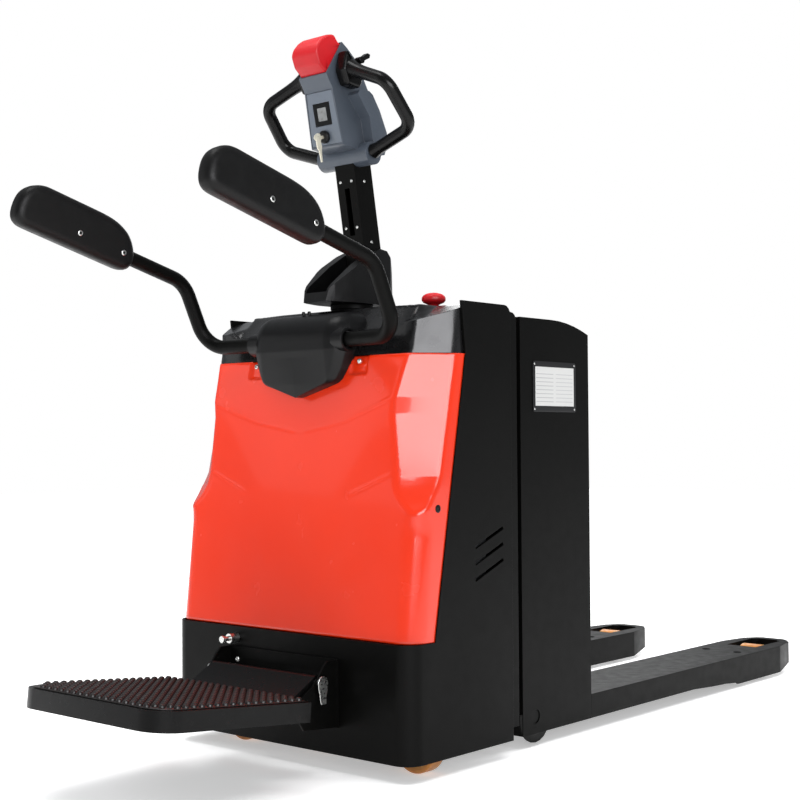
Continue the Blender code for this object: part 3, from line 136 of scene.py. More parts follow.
def soft_box(name, place, aim, wide, tall, power, glossy=True, diffuse=True, colour=(1, 1, 1)):
    """A rectangular light aimed at a point; it lights matt surfaces, shines in glossy ones, or does both."""
    light = bpy.data.lights.new(name, "AREA")
    light.shape = "RECTANGLE"
    light.size, light.size_y = wide, tall
    light.energy = power
    light.color = colour
    lamp = bpy.data.objects.new(name, light)
    lamp.location = place
    lamp.rotation_euler = (Vector(aim) - Vector(place)).to_track_quat("-Z", "Y").to_euler()
    lamp.visible_glossy = glossy
    lamp.visible_diffuse = diffuse
    bpy.context.scene.collection.objects.link(lamp)


soft_box("ceiling_box", (0.2, 0.1, 4.2), (0, 0, 0), 5.5, 4.0, 330, glossy=False)
soft_box("top_strip", (-1.2, 0.4, 3.6), (-0.4, 0, 0.8), 1.4, 0.8, 16, diffuse=False)
soft_box("right_fill", (-4.1, -4.1, 1.95), (-0.5, -0.3, 0.8), 1.5, 1.9, 70, glossy=False)
soft_box(
    "shoulder_box", (-3.2, -4.57, 2.45), (-0.5, -0.3, 0.8), 4.2, 3.0, 330, diffuse=False,
    colour=(0.97, 0.97, 1.0),
)
soft_box("left_fill", (-3.6, 3.0, 2.6), (-0.5, 0, 0.7), 1.6, 2.2, 55, glossy=False)
soft_box("face_box", (-3.6, 3.4, 2.2), (-0.5, 0, 0.7), 2.6, 2.2, 10, diffuse=False)
soft_box("back_box", (4.2, 2.6, 2.6), (0, 0, 0.4), 2.0, 2.0, 40)

camera_data = bpy.data.cameras.new("studio_camera")
camera_data.lens = 63.1775
camera_data.sensor_width = 36.0
camera_data.clip_end = 100.0
camera = bpy.data.objects.new("studio_camera", camera_data)
yaw, pitch, roll = math.radians(41.015), math.radians(1.610), math.radians(-0.3547)
ahead = Vector((math.cos(pitch) * math.cos(yaw), math.cos(pitch) * math.sin(yaw), math.sin(pitch)))
right = ahead.cross(Vector((0, 0, 1))).normalized()
up = right.cross(ahead)
right, up = right * math.cos(roll) + up * math.sin(roll), up * math.cos(roll) - right * math.sin(roll)
turn = Matrix((right, up, -ahead)).transposed().to_4x4()
camera.matrix_world = Matrix.Translation((heel - 2.8790, -2.2386, 0.7057)) @ turn
bpy.context.scene.collection.objects.link(camera)
bpy.context.scene.camera = camera
bpy.context.scene.view_settings.view_transform = "Standard"
bpy.context.scene.view_settings.look = "None"


# --- chassis and steel plates -------------------------
# The chassis is welded from 6 mm plate, and the guide channel behind it from 8 mm plate. Both are
# powder coated satin black: a fine orange peel, and edges that the coating rounds off.
def speckle(nodes, links, surface, scale, low, high):
    """Roughness that wanders between two values with a noise of that scale; returns the texture place."""
    place = nodes.new("ShaderNodeTexCoord")
    noise = nodes.new("ShaderNodeTexNoise")
    noise.inputs["Scale"].default_value = scale
    noise.inputs["Detail"].default_value = 3.0
    spread = nodes.new("ShaderNodeMapRange")
    spread.inputs["From Min"].default_value = 0.3
    spread.inputs["From Max"].default_value = 0.7
    spread.inputs["To Min"].default_value = low
    spread.inputs["To Max"].default_value = high
    links.new(place.outputs["Object"], noise.inputs["Vector"])
    links.new(noise.outputs["Fac"], spread.inputs["Value"])
    links.new(spread.outputs["Result"], surface.inputs["Roughness"])
    return place


def grain(nodes, links, surface, place, scale, depth, strength, pattern="ShaderNodeTexNoise"):
    """Fine relief from a noise or cell pattern, its depth in metres."""
    fine = nodes.new(pattern)
    fine.inputs["Scale"].default_value = scale
    bump = nodes.new("ShaderNodeBump")
    bump.inputs["Distance"].default_value = depth
    bump.inputs["Strength"].default_value = strength
    links.new(place.outputs["Object"], fine.inputs["Vector"])
    links.new(fine.outputs[0], bump.inputs["Height"])
    links.new(bump.outputs["Normal"], surface.inputs["Normal"])


def tint(nodes, links, surface, place, scale, dark, light):
    """Base colour that drifts between two close tones."""
    noise = nodes.new("ShaderNodeTexNoise")
    noise.inputs["Scale"].default_value = scale
    noise.inputs["Detail"].default_value = 2.0
    ramp = nodes.new("ShaderNodeValToRGB")
    ramp.color_ramp.elements[0].position = 0.3
    ramp.color_ramp.elements[0].color = (*dark, 1)
    ramp.color_ramp.elements[1].position = 0.7
    ramp.color_ramp.elements[1].color = (*light, 1)
    links.new(place.outputs["Object"], noise.inputs["Vector"])
    links.new(noise.outputs["Fac"], ramp.inputs["Fac"])
    links.new(ramp.outputs["Color"], surface.inputs["Base Color"])


def coated(name, colour, roughness, wander, relief=None, drift=None, metallic=0.0, **sockets):
    """A material whose roughness wanders, with fine relief and a drift of its colour where given."""
    made, nodes, links, surface = shader(name, colour, roughness, metallic, **sockets)
    place = speckle(nodes, links, surface, *wander)
    if relief:
        grain(nodes, links, surface, place, *relief)
    if drift:
        tint(nodes, links, surface, place, *drift)
    return made


powder_black = coated(
    "powder_black", (0.0022, 0.0022, 0.0020), 0.42, wander=(35.0, 0.38, 0.47),
    relief=(700.0, 0.00012, 0.35), drift=(5.0, (0.0018, 0.0018, 0.0016), (0.0026, 0.0026, 0.0023)),
    Specular_IOR_Level=0.08,
)


def eased_copy(node, body, material, width, segments=2, angle=30):
    """The CAD node's own shape with its flats merged and each edge eased by a small round."""
    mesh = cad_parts[node].data.copy()
    mesh.name = node + "_skin"
    bm = bmesh.new()
    bm.from_mesh(mesh)
    bmesh.ops.remove_doubles(bm, verts=bm.verts, dist=1e-5)
    bmesh.ops.dissolve_limit(bm, angle_limit=math.radians(0.6), verts=bm.verts, edges=bm.edges)
    bm.to_mesh(mesh)
    bm.free()
    mesh.materials.clear()
    mesh.materials.append(material)
    for face in mesh.polygons:
        face.material_index = 0
    made = bpy.data.objects.new(node + "_skin", mesh)
    bpy.context.scene.collection.objects.link(made)
    mesh.shade_smooth()
    mesh.set_sharp_from_angle(angle=math.radians(angle))
    ease = made.modifiers.new("eased edges", "BEVEL")
    ease.width = width
    ease.segments = segments
    ease.limit_method = "ANGLE"
    ease.angle_limit = math.radians(angle)
    ease.harden_normals = True
    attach(made, body)
    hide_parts(node)
    return made


for node in ("chassis_frame", "rear_frame", "cross_beam", "platform_bracket"):
    eased_copy(node, "chassis", powder_black, 0.0011)


def turned_piece(name, profile, centre, axis, material, steps, sharp):
    """A profile of (distance along the axis, radius) points spun once round the axis through a centre."""
    axis = np.array(axis, float) / np.linalg.norm(axis)
    aside = np.cross(axis, (0.0, 0.0, 1.0) if abs(axis[2]) < 0.9 else (1.0, 0.0, 0.0))
    aside /= np.linalg.norm(aside)
    across = np.cross(axis, aside)
    angles = np.linspace(0, 2 * np.pi, steps, endpoint=False)
    spokes = np.cos(angles)[:, None] * aside + np.sin(angles)[:, None] * across
    profile = np.array(profile, float)
    points = np.array(centre) + profile[None, :, :1] * axis + profile[None, :, 1:] * spokes[:, None, :]
    return surface_piece(name, points, quads(steps, len(profile), close_rows=True), material, sharp)


zinc_plate = coated(
    "zinc_plate", (0.63, 0.63, 0.61), 0.30, wander=(160.0, 0.22, 0.40),
    drift=(90.0, (0.56, 0.57, 0.56), (0.70, 0.70, 0.67)), metallic=1.0,
)


def screw(name, centre, axis, radius, body, material, height=0.0025, recess=0.5):
    """A low round-headed screw with a socket in its head."""
    hole = radius * recess
    profile = [
        (-0.002, 0.0004), (-0.002, radius), (height * 0.35, radius), (height * 0.8, radius * 0.86),
        (height, radius * 0.62), (height, hole), (height * 0.35, hole * 0.92), (height * 0.35, 0.0004),
    ]
    made = turned_piece(name, profile, centre, axis, material, 24, 50)
    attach(made, body)


side_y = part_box("chassis_frame")[0].y
for name, sign in (("side_plate_plug", -1), ("side_plate_plug_far", 1)):
    spot = (heel - 0.367, sign * (-side_y - 0.0009), 0.928)
    screw(name, spot, (0, sign, 0), 0.0050, "chassis", powder_black, 0.0008, 0.7)
rear_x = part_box("rear_frame")[1].x
rear_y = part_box("rear_frame")[0].y
for hand, y in (("right", rear_y), ("left", -rear_y)):
    for number, height in enumerate((0.905, 0.560, 0.180)):
        turn_out = (0, math.copysign(1, y), 0)
        screw(
            f"channel_bolt_{hand}_{number}", (rear_x - 0.033, y, height), turn_out, 0.0055, "chassis",
            powder_black,
        )


# --- front cover --------------------------------------
# One moulded panel over the drive unit, about 3 mm thick, in glossy red. It leans back, has a flat
# facet cut off each shoulder, and shallow creases pressed in its face; small bolts hold it at the top.
gloss_red = coated(
    "gloss_red", (0.80, 0.032, 0.004), 0.24, wander=(14.0, 0.20, 0.28), relief=(9.0, 0.004, 0.06),
    drift=(2.2, (0.77, 0.029, 0.0035), (0.83, 0.035, 0.0048)), Coat_Weight=0.45, Coat_Roughness=0.06,
    Specular_IOR_Level=0.35,
)


def soft_min(a, b, reach):
    """The smaller of two fields, blended over that reach so that the line where they meet is rounded."""
    near = np.clip(1.0 - np.abs(a - b) / reach, 0.0, 1.0)
    return np.minimum(a, b) - near * near * reach / 4


def smooth_step(x, low, high):
    """0 below low, 1 above high, and an S-curve between."""
    t = np.clip((x - low) / (high - low), 0, 1)
    return t * t * (3 - 2 * t)


skirt_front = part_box("chassis_frame")[0].x
skirt_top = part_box("front_cover")[0].z
cover_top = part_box("front_cover")[1].z
cover_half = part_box("front_cover")[1].y
cover_centre = heel - 0.300
face_foot, face_tall = 0.283, 0.607
facet_heights = [0.540, 0.590, 0.629, 0.760, 0.846, 0.894, 1.010]
facet_near = [0.302, 0.298, 0.291, 0.280, 0.291, 0.299, 0.310]
facet_far_x = [-0.634, -0.623, -0.601, -0.572, -0.553, -0.5425, -0.520]


def cover_lean(z):
    """Front face of the cover: a plane that leans back over its height."""
    return skirt_front + 0.008 + 0.066 * (z - face_foot) / face_tall


def face_swell(y, z):
    """How far the face stands out: it swells above the lower crease up to the upper one, then falls back."""
    y = np.minimum(np.abs(y), 0.4)
    lower = np.interp(y, [0.0, 0.115, 0.290, 0.4], [0.545, 0.568, 0.637, 0.680])
    upper = np.interp(y, [0.0, 0.009, 0.137, 0.276, 0.4], [0.722, 0.724, 0.747, 0.794, 0.840])
    slope = 0.062 * smooth_step(y, 0.090, 0.275)
    rise = soft_min(z - lower, upper - lower, 0.006)
    rise = np.where(z < lower - 0.004, 0.0, np.maximum(rise, 0.0)) * slope
    fall = np.maximum(z - upper, 0.0)
    top = np.maximum((upper - lower) * slope + 0.0025, 0.0)
    back = np.clip(fall / (0.905 - upper), 0, 1) * (top + 0.006 * (y / 0.3) + 0.004)
    bead = np.exp(-(((z - upper) / 0.0035) ** 2)) * smooth_step(y, 0.005, 0.030)
    bead = bead * (1 - smooth_step(y, 0.262, 0.276))
    low_bead = np.exp(-(((z - lower) / 0.0035) ** 2)) * smooth_step(y, 0.150, 0.190)
    low_bead = low_bead * (1 - smooth_step(y, 0.270, 0.288))
    return rise - back + 0.0011 * bead + 0.0009 * low_bead


def cover_reach(turn, z, side_y, front_x, centre):
    """Distance from an upright axis at x = centre to the cover's skin in each direction: the nearest of the
    leaning face, the side and the shoulder facet, with the corner between face and side rounded."""
    step_x, step_y = -np.cos(turn), np.sin(np.abs(turn))
    to_side = side_y / np.maximum(step_y, 1e-6)
    near_y = np.interp(z, facet_heights, facet_near)
    far_x = heel + np.interp(z, facet_heights, facet_far_x)
    reach = np.minimum((front_x - centre) / np.minimum(step_x, -1e-6), 2.0)
    for _ in range(4):
        to_face = (front_x - face_swell(reach * step_y, z) - centre) / np.minimum(step_x, -1e-6)
        face_x = front_x - face_swell(near_y, z)
        run_x, run_y = far_x - face_x, 0.362 - near_y
        gap_x, gap_y = face_x - centre, near_y
        cross = step_x * run_y - step_y * run_x
        to_facet = (gap_x * run_y - gap_y * run_x) / np.where(np.abs(cross) < 1e-9, -1e-9, cross)
        to_facet = np.where(to_facet > 0.05, to_facet, 9.0) + 0.030 * (np.maximum(0.612 - z, 0) / 0.070) ** 2
        corner = 0.066 * (1 - smooth_step(z, 0.50, 0.64)) + 0.010
        reach = soft_min(to_face, to_side, corner)
        reach = soft_min(reach, to_facet, 0.007)
    return reach


rows, columns = 210, 190
recess_depth = 0.0065
height = np.linspace(skirt_top, cover_top, rows)[:, None]
seam = skirt_front + 0.083 + 0.108 * (height - face_foot) / face_tall
end_turn = np.arctan2(cover_half, cover_centre - seam)
share = np.linspace(-1, 1, columns)[None, :]
turn = share * end_turn
reach = cover_reach(turn, height, cover_half, cover_lean(height), cover_centre)
x = cover_centre - reach * np.cos(turn)
y = reach * np.sin(turn)
z = height + 0 * turn
pocket = smooth_step(np.abs(y), 0.130, 0.138) * (1 - smooth_step(np.abs(y), 0.180, 0.188))
pocket = pocket * smooth_step(z, 0.846, 0.854)
x = x + recess_depth * pocket
rim = 1 - smooth_step(z, skirt_top, skirt_top + 0.004) + smooth_step(z, cover_top - 0.004, cover_top)
x = x + 0.0015 * rim
points = np.stack([x, y, z], -1)
faces = quads(rows, columns)[:, ::-1]
middle = points.reshape(-1, 3)[faces].mean(1)
arch = np.interp(np.abs(middle[:, 1]), [0, 0.108, 0.130, 0.150, 0.151], [0.800, 0.832, 0.862, 0.925, 2.0])
faces = faces[~((np.abs(middle[:, 1]) < 0.150) & (middle[:, 2] > arch + 0.006))]
cover = surface_piece("front_cover_panel", points, faces, gloss_red, 180, outward=False)
wall = cover.modifiers.new("wall", "SOLIDIFY")
wall.thickness = 0.003
wall.offset = -1
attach(cover, "chassis")
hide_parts("front_cover")

black_gloss = coated(
    "black_moulding", (0.0030, 0.0030, 0.0032), 0.34, wander=(40.0, 0.30, 0.40),
    relief=(1500.0, 0.00010, 0.5, "ShaderNodeTexVoronoi"), Specular_IOR_Level=0.24,
)

for hand, y in (("right", -0.163), ("left", 0.163)):
    spot = (cover_lean(0.877) - 0.001 + recess_depth, y, 0.877)
    screw(f"cover_bolt_{hand}", spot, (-1, 0, 0.05), 0.0058, "chassis", zinc_plate, 0.004)
    spot = (heel - 0.607, math.copysign(cover_half, y), 0.560)
    turn_out = (0, math.copysign(1, y), 0)
    screw(f"cover_plug_{hand}", spot, turn_out, 0.0085, "chassis", black_gloss, 0.0016, 0.62)


# --- top cover and emergency stop ---------------------
# A moulded black lid in a smoother gloss. Its front steps down to a ledge for the arms, the shoulder
# facets carry on up its corners, and a dished seat near the right corner takes the red stop button.
lid_gloss = coated(
    "lid_gloss", (0.0045, 0.0045, 0.0048), 0.26, wander=(30.0, 0.22, 0.30),
    relief=(1300.0, 0.00006, 0.4, "ShaderNodeTexVoronoi"), Specular_IOR_Level=0.40, Coat_Weight=0.25,
    Coat_Roughness=0.12,
)

lid_low, lid_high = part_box("top_cover")
lid_back = lid_high.x
lid_half = lid_high.y
stop_low, stop_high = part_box("stop_button")
stop_x, stop_y = (stop_low.x + stop_high.x) / 2, (stop_low.y + stop_high.y) / 2
lid_centre = heel - 0.480
lid_rim, ledge_top = 0.9975, 0.9485
lid_columns = 260


def lid_reach(turn, z):
    """As the cover's skin, carried on upwards, but closed behind by a straight back edge."""
    reach = np.minimum(cover_reach(turn, z, lid_half, cover_lean(z) + 0.003, lid_centre), 2.0)
    step_x = -np.cos(turn)
    to_back = np.where(step_x > 1e-3, (lid_back - lid_centre) / np.maximum(step_x, 1e-3), 9.0)
    return soft_min(reach, to_back, 0.004)


turn = np.linspace(-np.pi, np.pi, lid_columns, endpoint=False)[None, :]
wall_z = np.concatenate([np.linspace(lid_low.z, 0.944, 14), np.linspace(0.948, lid_rim, 16)])[:, None]
reach = lid_reach(turn, wall_z)
x = lid_centre - reach * np.cos(turn)
y = reach * np.sin(turn)
z = wall_z + 0 * turn
spread = np.concatenate([np.linspace(1, 0.94, 10)[1:], np.linspace(0.94, 0.0, 70)[1:]])[:, None]
top_reach = reach[-1:] * spread
top_x = lid_centre - top_reach * np.cos(turn)
top_y = top_reach * np.sin(turn)
crown = 1 - smooth_step(np.abs(top_y), 0.05, lid_half)
top_z = lid_rim + 0.0055 * smooth_step(1 - spread, 0.0, 0.03)
top_z = top_z + 0.0015 * crown * smooth_step(1 - spread, 0.03, 0.5)
from_stop = np.hypot(top_x - stop_x, top_y - stop_y)
top_z = top_z - 0.012 * (1 - smooth_step(from_stop, 0.030, 0.040))
top_z = top_z - 0.014 * (1 - smooth_step(from_stop, 0.019, 0.0225))
x = np.concatenate([x, top_x])
y = np.concatenate([y, top_y])
z = np.concatenate([z, top_z])
front_x = cover_lean(0.89) + 0.003
inward = x - front_x
slope_start = 0.030 + 0.010 * smooth_step(np.abs(y), 0.15, 0.25)
above = ledge_top + np.clip((inward - slope_start) / 0.050, 0, 1) * 0.055
within = 1 - smooth_step(np.abs(y), 0.262, 0.276)
falling = 1.003 - 0.34 * np.maximum(heel - 0.478 - x, 0)
cut_z = above * within + falling * (1 - within)
z = soft_min(z, np.maximum(cut_z, lid_low.z), 0.006)
points = np.stack([x, y, z], -1)
faces = quads(len(points), lid_columns, close_columns=True)[:, ::-1]
lid = surface_piece("top_cover_moulding", points, faces, lid_gloss, 50)
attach(lid, "chassis")
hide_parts("top_cover")

button_red = coated(
    "button_red_gloss", (0.52, 0.006, 0.011), 0.38, wander=(60.0, 0.36, 0.44),
    drift=(12.0, (0.49, 0.0055, 0.010), (0.56, 0.007, 0.012)), Coat_Weight=0.10, Coat_Roughness=0.2,
    Specular_IOR_Level=0.3,
)
profile = [
    (-0.016, 0.0004), (-0.016, 0.0105), (-0.002, 0.0120), (0.0005, 0.0175), (0.003, 0.0235),
    (0.007, 0.0268), (0.011, 0.0274), (0.0155, 0.0265), (0.0195, 0.0235), (0.0225, 0.0185),
    (0.0245, 0.0120), (0.0257, 0.0060), (0.0260, 0.0004),
]
button_base = (stop_x, stop_y, stop_high.z - 0.026)
button = turned_piece("stop_mushroom", profile, button_base, (0, 0, 1), button_red, 56, 60)
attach(button, "stop_button")
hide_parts("stop_button")
collar = [
    (-0.004, 0.0135), (0.0018, 0.0135), (0.0022, 0.0150), (0.0018, 0.0230), (0.0, 0.0245), (-0.004, 0.0245)
]
ring = turned_piece("stop_collar", collar, (stop_x, stop_y, 0.9925), (0, 0, 1), black_gloss, 48, 40)
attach(ring, "chassis")


# --- arm housing and side guard arms ------------------
# A moulded barrel over the pivots of the two arms, drawn down to a pointed shield. Each arm is a bent
# 33 mm tube, coated black, and carries a firm foam paddle held by two screws.
def resampled(outline, count, soften):
    """A closed outline at equal steps, then averaged with its neighbours to round its corners."""
    loop = np.array(list(outline) + [outline[0]], float)
    run = np.concatenate([[0], np.cumsum(np.hypot(*np.diff(loop, axis=0).T))])
    at = np.linspace(0, run[-1], count, endpoint=False)
    even = np.stack([np.interp(at, run, loop[:, 0]), np.interp(at, run, loop[:, 1])], -1)
    for _ in range(soften):
        even = (np.roll(even, 1, 0) + 2 * even + np.roll(even, -1, 0)) / 4
    return even


def moulding(name, outline, low, high, edge, place, material, count, soften, crown=0.0):
    """A slab with that outline, its rims rounded by a quarter circle: each ring of points is the outline
    moved inwards by edge (1 - cos t) at a depth of edge (1 - sin t), and the two faces close over with
    rings drawn towards the outline's middle line, raised by the crown."""
    even = resampled(outline, count, soften)
    along = np.roll(even, -1, 0) - np.roll(even, 1, 0)
    along /= np.maximum(np.hypot(*along.T), 1e-9)[:, None]
    area = np.sum(even[:, 0] * np.roll(even[:, 1], -1) - even[:, 1] * np.roll(even[:, 0], -1))
    inwards = np.stack([-along[:, 1], along[:, 0]], -1) * np.sign(area)
    rings, depths = [], []
    for t in np.linspace(0, np.pi / 2, 6):
        rings.append(even + inwards * edge * (1 - np.sin(t)))
        depths.append(low + edge * (1 - np.cos(t)))
    flat = even + inwards * edge
    centre = flat.mean(0)
    wide = flat.max(0) - flat.min(0)
    axis = 0 if wide[0] > wide[1] else 1
    reach = (wide[axis] - wide[1 - axis]) / 2 * 0.9
    middle = np.tile(centre, (count, 1))
    middle[:, axis] = np.clip(flat[:, axis], centre[axis] - reach, centre[axis] + reach)
    fill, raise_by = [], []
    for s in (0.0, 0.2, 0.45, 0.7, 0.9):
        fill.append(middle + (flat - middle) * s)
        raise_by.append(crown * (1 - s * s))
    grid = np.stack(fill + rings + rings[::-1] + fill[::-1])
    levels = [low - r for r in raise_by] + depths
    levels += [high + low - d for d in depths[::-1]] + [high + r for r in raise_by[::-1]]
    depth = np.array(levels)[:, None] + 0 * grid[..., 0]
    points = place(np.concatenate([grid, depth[..., None]], -1).reshape(-1, 3))
    return surface_piece(name, points, quads(len(grid), count, close_columns=True), material, 50)


def rounded_line(corners, radii, steps):
    """A line through the corners with each inner one turned into an arc of its radius."""
    corners = np.array(corners, float)
    spots = [corners[:1]]
    for before, corner, after, radius in zip(corners, corners[1:], corners[2:], radii):
        back = (before - corner) / np.linalg.norm(before - corner)
        ahead = (after - corner) / np.linalg.norm(after - corner)
        half = np.arccos(np.clip(back @ ahead, -1, 1)) / 2
        bisector = (back + ahead) / np.linalg.norm(back + ahead)
        middle = corner + bisector * radius / np.sin(half)
        first = corner + back * radius / np.tan(half) - middle
        last = corner + ahead * radius / np.tan(half) - middle
        sweep = np.arccos(np.clip(first @ last / radius ** 2, -1, 1))
        t = np.linspace(0, 1, steps)[:, None]
        spots.append(middle + (np.sin((1 - t) * sweep) * first + np.sin(t * sweep) * last) / np.sin(sweep))
    spots.append(corners[-1:])
    return np.concatenate(spots)


def swept(name, line, radius, material, sides):
    """A round bar carried along a line: each ring is square to the line, and each frame is the last one
    turned by the least angle, so the surface doesn't twist."""
    line = np.array(line, float)
    run = np.gradient(line, axis=0)
    run /= np.linalg.norm(run, axis=1)[:, None]
    aside = np.zeros_like(line)
    first = np.cross(run[0], (0, 0, 1) if abs(run[0][2]) < 0.9 else (1, 0, 0))
    aside[0] = first / np.linalg.norm(first)
    for i in range(1, len(line)):
        held = aside[i - 1] - run[i] * (aside[i - 1] @ run[i])
        aside[i] = held / np.linalg.norm(held)
    across = np.cross(run, aside)
    angles = np.linspace(0, 2 * np.pi, sides, endpoint=False)
    radius = np.broadcast_to(np.asarray(radius, float), (len(line),))
    ring = np.cos(angles)[None, :, None] * aside[:, None] + np.sin(angles)[None, :, None] * across[:, None]
    points = line[:, None] + radius[:, None, None] * ring
    first_end, last_end = (np.repeat(line[k][None, None], sides, 1) for k in (0, -1))
    points = np.concatenate([first_end, points, last_end])
    return surface_piece(name, points, quads(len(points), sides, close_columns=True), material, 50)


house_low, house_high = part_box("arm_housing")
house_front, house_back = house_low.x, house_high.x
axis_x, axis_z = heel - 0.645, 0.925
half_outline = np.array([
    (0.0, 0.8005), (0.052, 0.8155), (0.104, 0.8310), (0.116, 0.8390), (0.128, 0.8600), (0.138, 0.8900),
    (0.147, 0.925), (0.1465, 0.950), (0.143, 0.966), (0.136, 0.981), (0.124, 0.990), (0.060, 0.990),
])
across = np.linspace(-1, 1, 121)
heights = np.concatenate([np.linspace(0.8005, 0.840, 16), np.linspace(0.843, 0.9895, 54)])
side_of = np.interp(heights, half_outline[:10, 1], half_outline[:10, 0])
shoulder = np.interp(heights, [0.80, 0.96, 0.97, 0.981, 0.9895], [0.2, 0.146, 0.142, 0.135, 0.122])
side_of = np.minimum(side_of, shoulder)
y = across[None, :] * np.maximum(side_of, 0.0005)[:, None]
z = heights[:, None] + 0 * y
barrel = 0.0645
bulge = np.sqrt(np.clip(barrel ** 2 - np.clip(z - axis_z, 0, barrel) ** 2, 0, None))
face = house_front + 0.001 + (barrel - bulge) + 0.016 * np.clip((0.905 - z) / 0.105, 0, 1)
corner = np.clip((np.abs(y) - 0.098) / 0.050, 0, 1)
face = face + 0.026 * corner ** 1.6 + 0.020 * np.clip(np.abs(across)[None, :] - 0.86, 0, 1) ** 1.5 * 8
ridge = 0.0035 * np.clip(1 - np.abs(y) / 0.09, 0, 1) * np.clip((0.89 - z) / 0.06, 0, 1)
x = np.minimum(face - ridge, house_back - 0.004)
front_grid = np.stack([x, y, z], -1)
back_grid = front_grid.copy()
back_grid[..., 0] = house_back
shell = np.concatenate([front_grid, back_grid[:, ::-1]], 1)
faces = quads(len(heights), shell.shape[1], close_columns=True)
count = shell.shape[1]
top_row = (len(heights) - 1) * count
steps = range(len(across) - 1)
lids = [[top_row + i, top_row + i + 1, top_row + count - 2 - i, top_row + count - 1 - i] for i in steps]
lids += [[i, count - 1 - i, count - 2 - i, i + 1] for i in steps]
housing = surface_piece("arm_housing_moulding", shell, np.concatenate([faces, lids]), black_gloss, 38)
ease = housing.modifiers.new("eased edges", "BEVEL")
ease.width = 0.004
ease.segments = 3
ease.limit_method = "ANGLE"
ease.angle_limit = math.radians(38)
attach(housing, "chassis")
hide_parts("arm_housing")
for number, y in enumerate((-0.012, 0.006)):
    spot = (axis_x + 0.016, y, 0.9895)
    screw(f"housing_stud_{number}", spot, (0, 0, 1), 0.0042, "chassis", black_gloss, 0.006)
boss = [
    (-0.030, 0.0185), (0.0, 0.0185), (0.0030, 0.0200), (0.0035, 0.0235), (0.002, 0.0262), (-0.030, 0.0262)
]
for hand, sign in (("right", -1), ("left", 1)):
    spot = (axis_x, sign * 0.146, axis_z)
    made = turned_piece(f"housing_eye_{hand}", boss, spot, (0, sign, 0), black_gloss, 40, 40)
    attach(made, "chassis")

foam_black = coated(
    "foam_skin", (0.0036, 0.0035, 0.0035), 0.44, wander=(60.0, 0.38, 0.50),
    relief=(900.0, 0.00018, 0.5, "ShaderNodeTexVoronoi"), Specular_IOR_Level=0.20,
)

slope, rolled = math.radians(15.2), math.radians(5.3)
pad_half = 0.0455 / 2
pad_outline = [
    (0.000, -0.006), (0.006, -0.024), (0.014, -0.033), (0.026, -0.037), (0.100, -0.037), (0.296, -0.037),
    (0.308, -0.033), (0.316, -0.024), (0.3195, -0.010), (0.3195, 0.010), (0.316, 0.030), (0.306, 0.046),
    (0.290, 0.059), (0.268, 0.067), (0.190, 0.067), (0.110, 0.067), (0.080, 0.065), (0.055, 0.059),
    (0.034, 0.049), (0.018, 0.034), (0.007, 0.016),
]
for hand, sign in (("right", -1), ("left", 1)):
    spread = sign * 0.300
    pivot = np.array((axis_x, 0.0, axis_z))
    along_arm = np.array((-math.cos(slope), 0.0, math.sin(slope)))
    bend = np.array((-0.0855, spread, 0.1513))
    pad_base = bend + along_arm * 0.160
    end = pad_base + along_arm * 0.212
    corners = [(0, sign * 0.012, 0), (0, sign * 0.165, 0), (-0.015, spread, 0), bend, end]
    line = pivot + rounded_line(corners, (0.100, 0.060, 0.075), 18)
    bar = swept("guard_tube_" + hand, line, 0.0165, powder_black, 36)
    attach(bar, "arm_" + hand)
    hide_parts("arm_tube_" + hand)
    tilt = np.array(Matrix.Rotation(slope, 3, "Y") @ Matrix.Rotation(sign * rolled, 3, "X"))

    def on_pad(spots, tilt=tilt, origin=pivot + pad_base):
        """From (along, across, through) on the pad to the truck's frame."""
        return origin + np.stack([-spots[:, 0], spots[:, 2], spots[:, 1]], -1) @ tilt.T

    paddle = moulding(
        "guard_pad_" + hand, pad_outline, -pad_half, pad_half, 0.0175, on_pad, foam_black, 200, 10,
        crown=0.0007,
    )
    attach(paddle, "arm_" + hand)
    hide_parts("arm_pad_" + hand)
    for number, s in enumerate((0.039, 0.1605)):
        for face in (-1, 1):
            spot = on_pad(np.array([[s, 0.0, face * (pad_half - 0.0008)]]))[0]
            out = tilt @ np.array((0.0, face, 0.0))
            label = f"{hand}_{number}_{'in' if face == -sign else 'out'}"
            screw("pad_screw_" + label, spot, out, 0.0068, "arm_" + hand, zinc_plate, 0.0022)
            rim = [(-0.004, 0.0082), (0.0004, 0.0082), (0.0007, 0.0100), (0.0004, 0.0122), (-0.004, 0.0122)]
            seat = turned_piece("pad_seat_" + label, rim, spot, out, foam_black, 32, 50)
            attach(seat, "arm_" + hand)


# --- steering head, tiller arm and its screws ---------
# A cast head turns on the post and holds the tiller between two cheeks. The tiller is a 60 mm square
# steel tube, slotted down its front, with small countersunk screws that hold the cable cover inside.
def repaint(node, material):
    """The CAD node keeps its shape and takes this material in its object's slots."""
    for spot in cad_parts[node].material_slots:
        spot.link = "OBJECT"
        spot.material = material


lean = math.radians(10.0)
tilt_at = (heel - 0.4225, 0.0, 1.082)


def on_tiller(spots):
    """From the tiller's own frame, with z along the arm and x towards the forks, to the truck's."""
    spots = np.asarray(spots, float).reshape(-1, 3)
    x = tilt_at[0] + math.cos(lean) * spots[:, 0] - math.sin(lean) * spots[:, 2]
    z = tilt_at[2] + math.sin(lean) * spots[:, 0] + math.cos(lean) * spots[:, 2]
    return np.stack([x, spots[:, 1], z], -1)


def tiller_way(x, y, z):
    """A direction in the tiller's frame, turned into the truck's."""
    return (math.cos(lean) * x - math.sin(lean) * z, y, math.sin(lean) * x + math.cos(lean) * z)


